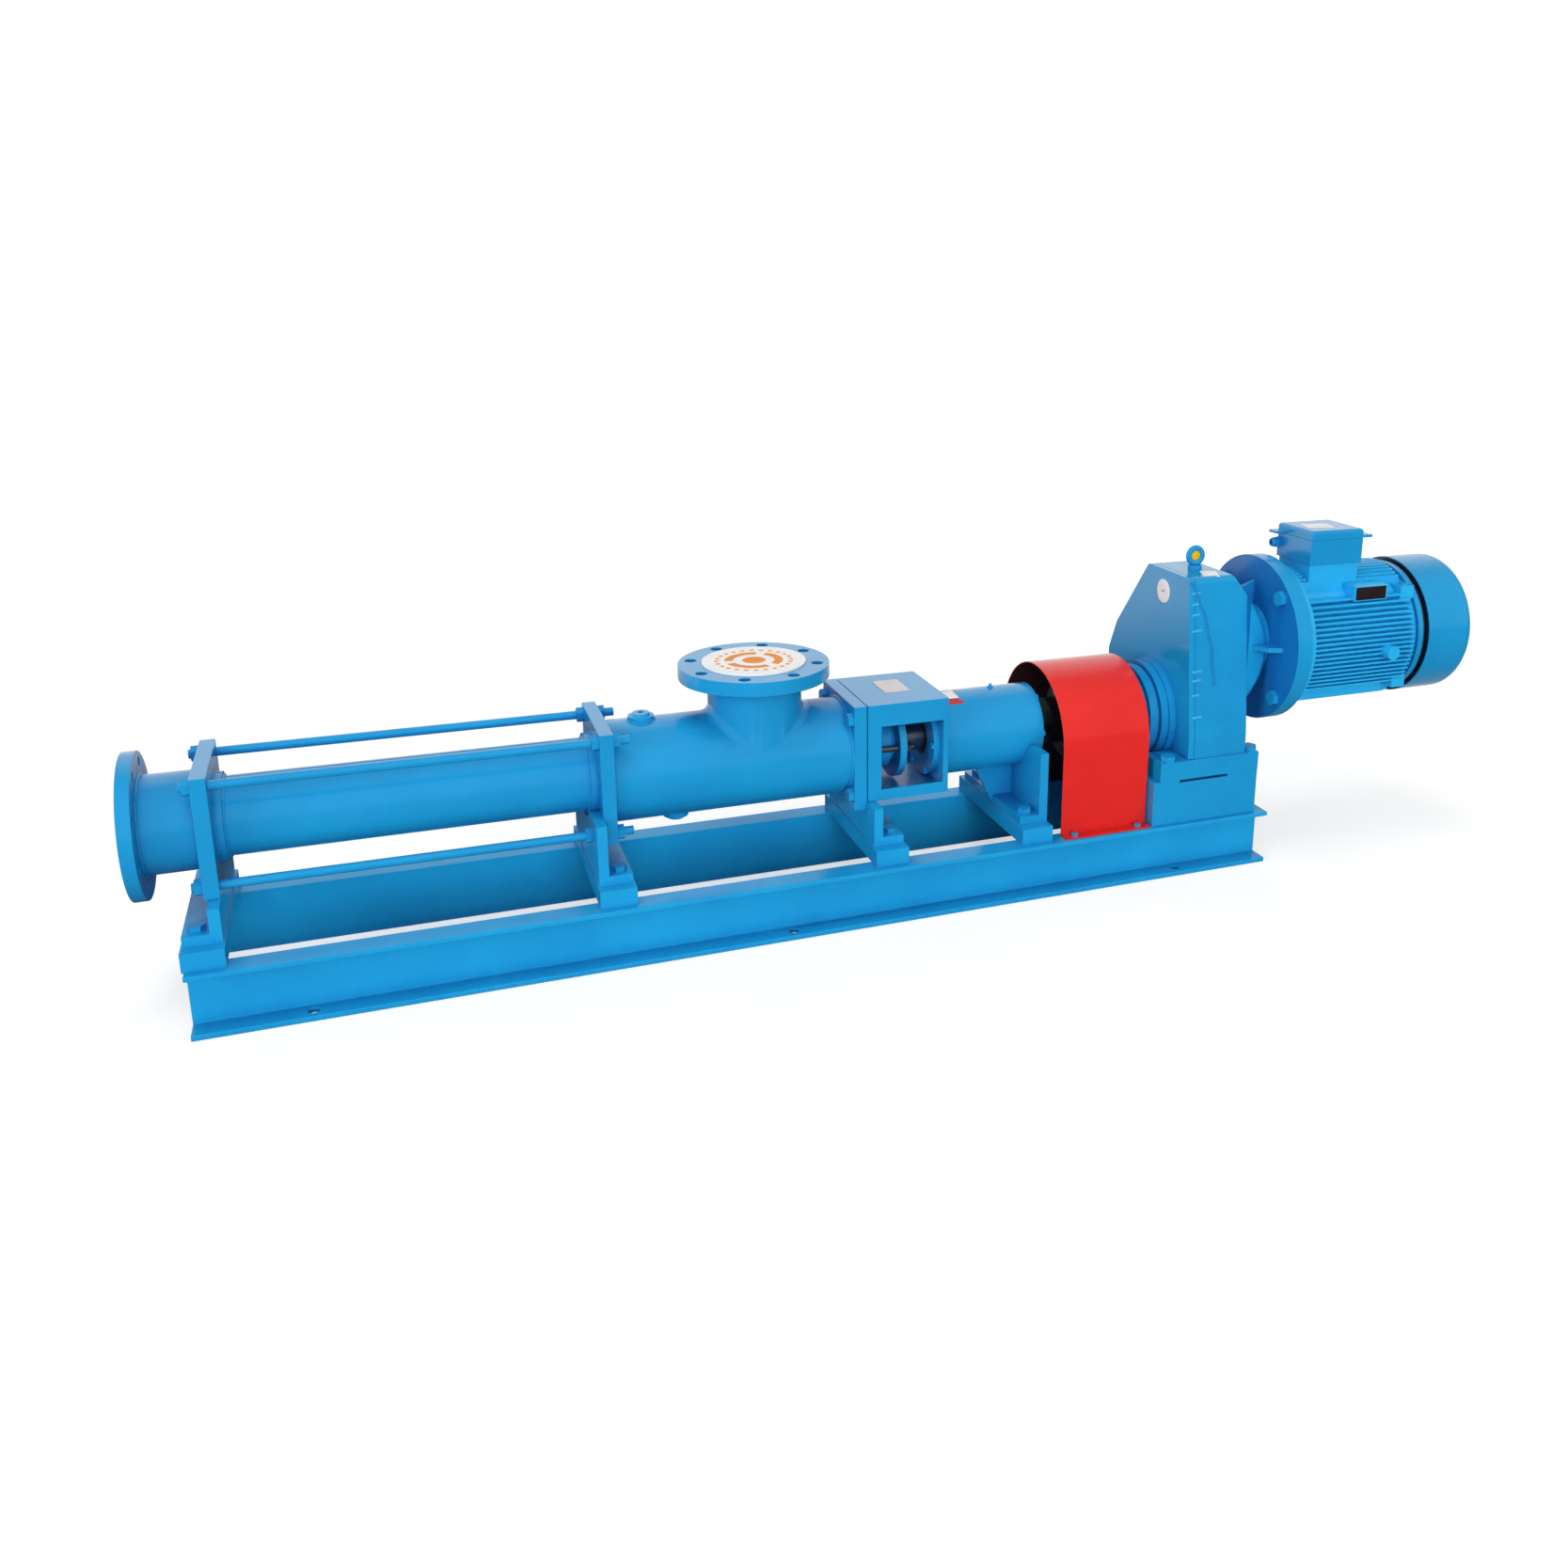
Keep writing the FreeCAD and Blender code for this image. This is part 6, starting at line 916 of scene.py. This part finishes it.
def add_housing_label():
    """Red label with a white panel on the bearing housing."""
    sticker("housing_label", ["bearing_housing"], HOUSING_LABEL_PLACE, out=LEANING_UP, up=ALONG_PUMP,
            size=(0.052, 0.050), corner=0.003, finish="label_red")
    sticker("housing_label_panel", ["bearing_housing"], PANEL_PLACE, out=LEANING_UP, up=ALONG_PUMP,
            size=(0.034, 0.034), corner=0.002, finish="label_white", lift=0.001)


def add_cable_gland():
    """Cable gland with its nut on the terminal box."""
    turned("cable_gland_nut", GLAND_PLACE, TO_DISCHARGE, GLAND_NUT_PROFILE,
           "blue_paint", sides=HEXAGON)
    turned("cable_gland", GLAND_PLACE, TO_DISCHARGE, GLAND_PROFILE, "blue_paint")


def add_motor_plate_face():
    """Black face on the motor's rating plate, a little smaller than the plate."""
    corners = [vert.co for vert in NODES["nameplates"].data.vertices if vert.co.x > MOTOR_START]
    low = Vector([min(corner[axis] for corner in corners) for axis in range(3)])
    high = Vector([max(corner[axis] for corner in corners) for axis in range(3)])
    centre = ((low.x + high.x) / 2, low.y, (low.z + high.z) / 2)
    size = (high.x - low.x - PLATE_MARGIN, high.z - low.z - PLATE_MARGIN)
    sticker("motor_plate_face", ["nameplates"], centre, out=TO_FRONT, up=UP,
            size=size, corner=0.006, finish="motor_plate")


def add_lid_label():
    """Blank label on the terminal box's lid, thin enough for the part's height."""
    sticker("lid_label", ["terminal_box_lid"], LID_LABEL_PLACE, out=UP, up=(0.2, 1, 0),
            size=(0.06, 0.045), corner=0.003, finish="label_white", lift=0.0002)


def fittings():
    """Grease nipple, cable gland and the remaining labels."""
    add_grease_nipple()
    add_housing_label()
    add_cable_gland()
    add_motor_plate_face()
    add_lid_label()


# Stage, lights and camera

# Floor and world: brightness for the camera, glow and ambient light, and lengths in metres
FLOOR_SEEN = 0.5
FLOOR_GLOW = 0.61
AMBIENT = 0.36
FLOOR_HALF = 60.0
FLOOR_DROP = 0.0005
LAMP_AIM = Vector((0.1, 0.0, 0.3))

# Lamps: place and diameter in metres, and share of full brightness at the object
LAMPS = {
    "front": ((-0.6, -9.0, 2.4), 5.5, 0.64),
    "left": ((-11.0, -5.0, 3.6), 6.5, 0.33),
    "top": ((-1.0, -1.0, 9.5), 4.0, 0.26),
    "back": ((3.0, 9.0, 3.0), 5.5, 0.34),
}

# Camera: place in metres, angles in degrees, sensor and lens in millimetres
CAMERA_PLACE = (-0.67337, -2.5274, 1.23869)
CAMERA_HEADING = -22.77
CAMERA_TILT = -15.44
CAMERA_ROLL = -1.0
SENSOR_WIDTH = 36.0
FOCAL_LENGTH = 32.53
CAMERA_SHIFT = (-0.1092, -0.0849)
CLIP_END = 200.0


def floor_finish():
    """Pale floor that shows white where it is lit, keeps the shadow and gives little light back."""
    recipe = Recipe("floor")
    path = recipe.add("ShaderNodeLightPath")
    seen = path.outputs["Is Camera Ray"]
    mirrored = path.outputs["Is Glossy Ray"]
    speck_levels = (FLOOR_SEEN - 0.01, FLOOR_SEEN + 0.01)
    speck = recipe.patches(cells=3.0, detail=2.0, rough=0.5, band=(0.3, 0.7), levels=speck_levels)
    pale = recipe.mix(speck, grey(0.0), grey(1.0))
    unseen = recipe.mix(mirrored, grey(0.45), grey(0.06))
    recipe.colour(recipe.mix(seen, unseen, pale))
    recipe.shader.inputs["Roughness"].default_value = 0.9
    recipe.shader.inputs["Specular IOR Level"].default_value = 0.0
    reach = recipe.vector_math("LENGTH", recipe.place)
    glow_for_camera = recipe.span(reach, low=1.6, high=6.0, to_low=FLOOR_GLOW)
    far = recipe.span(reach, low=1.25, high=2.1)
    behind = recipe.span(recipe.part(recipe.place, "Y"), low=-0.3, high=0.5)
    glow_in_mirrors = recipe.math("MULTIPLY", far, behind)
    level = recipe.math(
        "ADD",
        recipe.math("MULTIPLY", seen, glow_for_camera),
        recipe.math("MULTIPLY", mirrored, glow_in_mirrors),
    )
    glow = recipe.add("ShaderNodeEmission", Strength=level)
    both = recipe.add("ShaderNodeAddShader")
    recipe.feed(both, 0, recipe.shader.outputs[0])
    recipe.feed(both, 1, glow.outputs[0])
    recipe.feed(recipe.tree.nodes["Material Output"], "Surface", both.outputs[0])
    return recipe.material


def make_world():
    """White for whatever looks at it, weaker light for the surfaces, and dim in front for reflections."""
    world = bpy.data.worlds.new("studio")
    bpy.context.scene.world = world
    world.use_nodes = True
    studio = Tree(world.node_tree)
    path = studio.add("ShaderNodeLightPath")
    direction = studio.add("ShaderNodeTexCoord").outputs["Generated"]
    mirrored = studio.span(studio.part(direction, "Y"), low=0.2, high=0.62, to_low=0.3)
    level = studio.choose(path.outputs["Is Glossy Ray"], AMBIENT, mirrored)
    for ray in ("Is Transmission Ray", "Is Camera Ray"):
        level = studio.choose(path.outputs[ray], level, 1.0)
    background = world.node_tree.nodes["Background"]
    studio.feed(background, "Strength", level)
    background.inputs["Color"].default_value = grey(1.0)


def make_floor():
    """Wide floor just below the object."""
    mesh = bpy.data.meshes.new("floor")
    corners = [(x * FLOOR_HALF, y * FLOOR_HALF, 0) for x, y in ((-1, -1), (1, -1), (1, 1), (-1, 1))]
    mesh.from_pydata(corners, [], [(0, 1, 2, 3)])
    mesh.materials.append(floor_finish())
    floor = bpy.data.objects.new("floor", mesh)
    bpy.context.scene.collection.objects.link(floor)
    floor.location.z = -FLOOR_DROP


def add_lamp(name, position, size, share):
    """A large soft lamp, not mirrored in the paint, that gives a share of full brightness at the object."""
    direction = LAMP_AIM - Vector(position)
    data = bpy.data.lights.new(name, "AREA")
    data.shape = "DISK"
    data.size = size
    data.energy = share * (math.pi * direction.length) ** 2
    data.cycles.use_multiple_importance_sampling = False
    lamp = bpy.data.objects.new(name, data)
    bpy.context.scene.collection.objects.link(lamp)
    lamp.location = position
    lamp.visible_glossy = False
    lamp.rotation_euler = direction.to_track_quat("-Z", "Y").to_euler()


def make_stage():
    """Floor, world and lamps."""
    make_floor()
    make_world()
    for name, (position, size, share) in LAMPS.items():
        add_lamp(name, position, size, share)


def make_camera():
    """Camera at the photograph's place."""
    data = bpy.data.cameras.new("camera")
    data.sensor_width = SENSOR_WIDTH
    data.lens = FOCAL_LENGTH
    data.shift_x, data.shift_y = CAMERA_SHIFT
    data.clip_end = CLIP_END
    camera = bpy.data.objects.new("camera", data)
    bpy.context.scene.collection.objects.link(camera)
    level_view = Matrix.Rotation(math.radians(90), 4, "X")
    heading = Matrix.Rotation(math.radians(CAMERA_HEADING), 4, "Z")
    tilt = Matrix.Rotation(math.radians(CAMERA_TILT), 4, "X")
    roll = Matrix.Rotation(math.radians(CAMERA_ROLL), 4, "Y")
    camera.matrix_world = Matrix.Translation(CAMERA_PLACE) @ heading @ tilt @ roll @ level_view
    bpy.context.scene.camera = camera


dress_nodes()
weld_beads()
gear_casing_details()
fittings()
make_stage()
make_camera()
bpy.context.scene.view_settings.view_transform = "Standard"
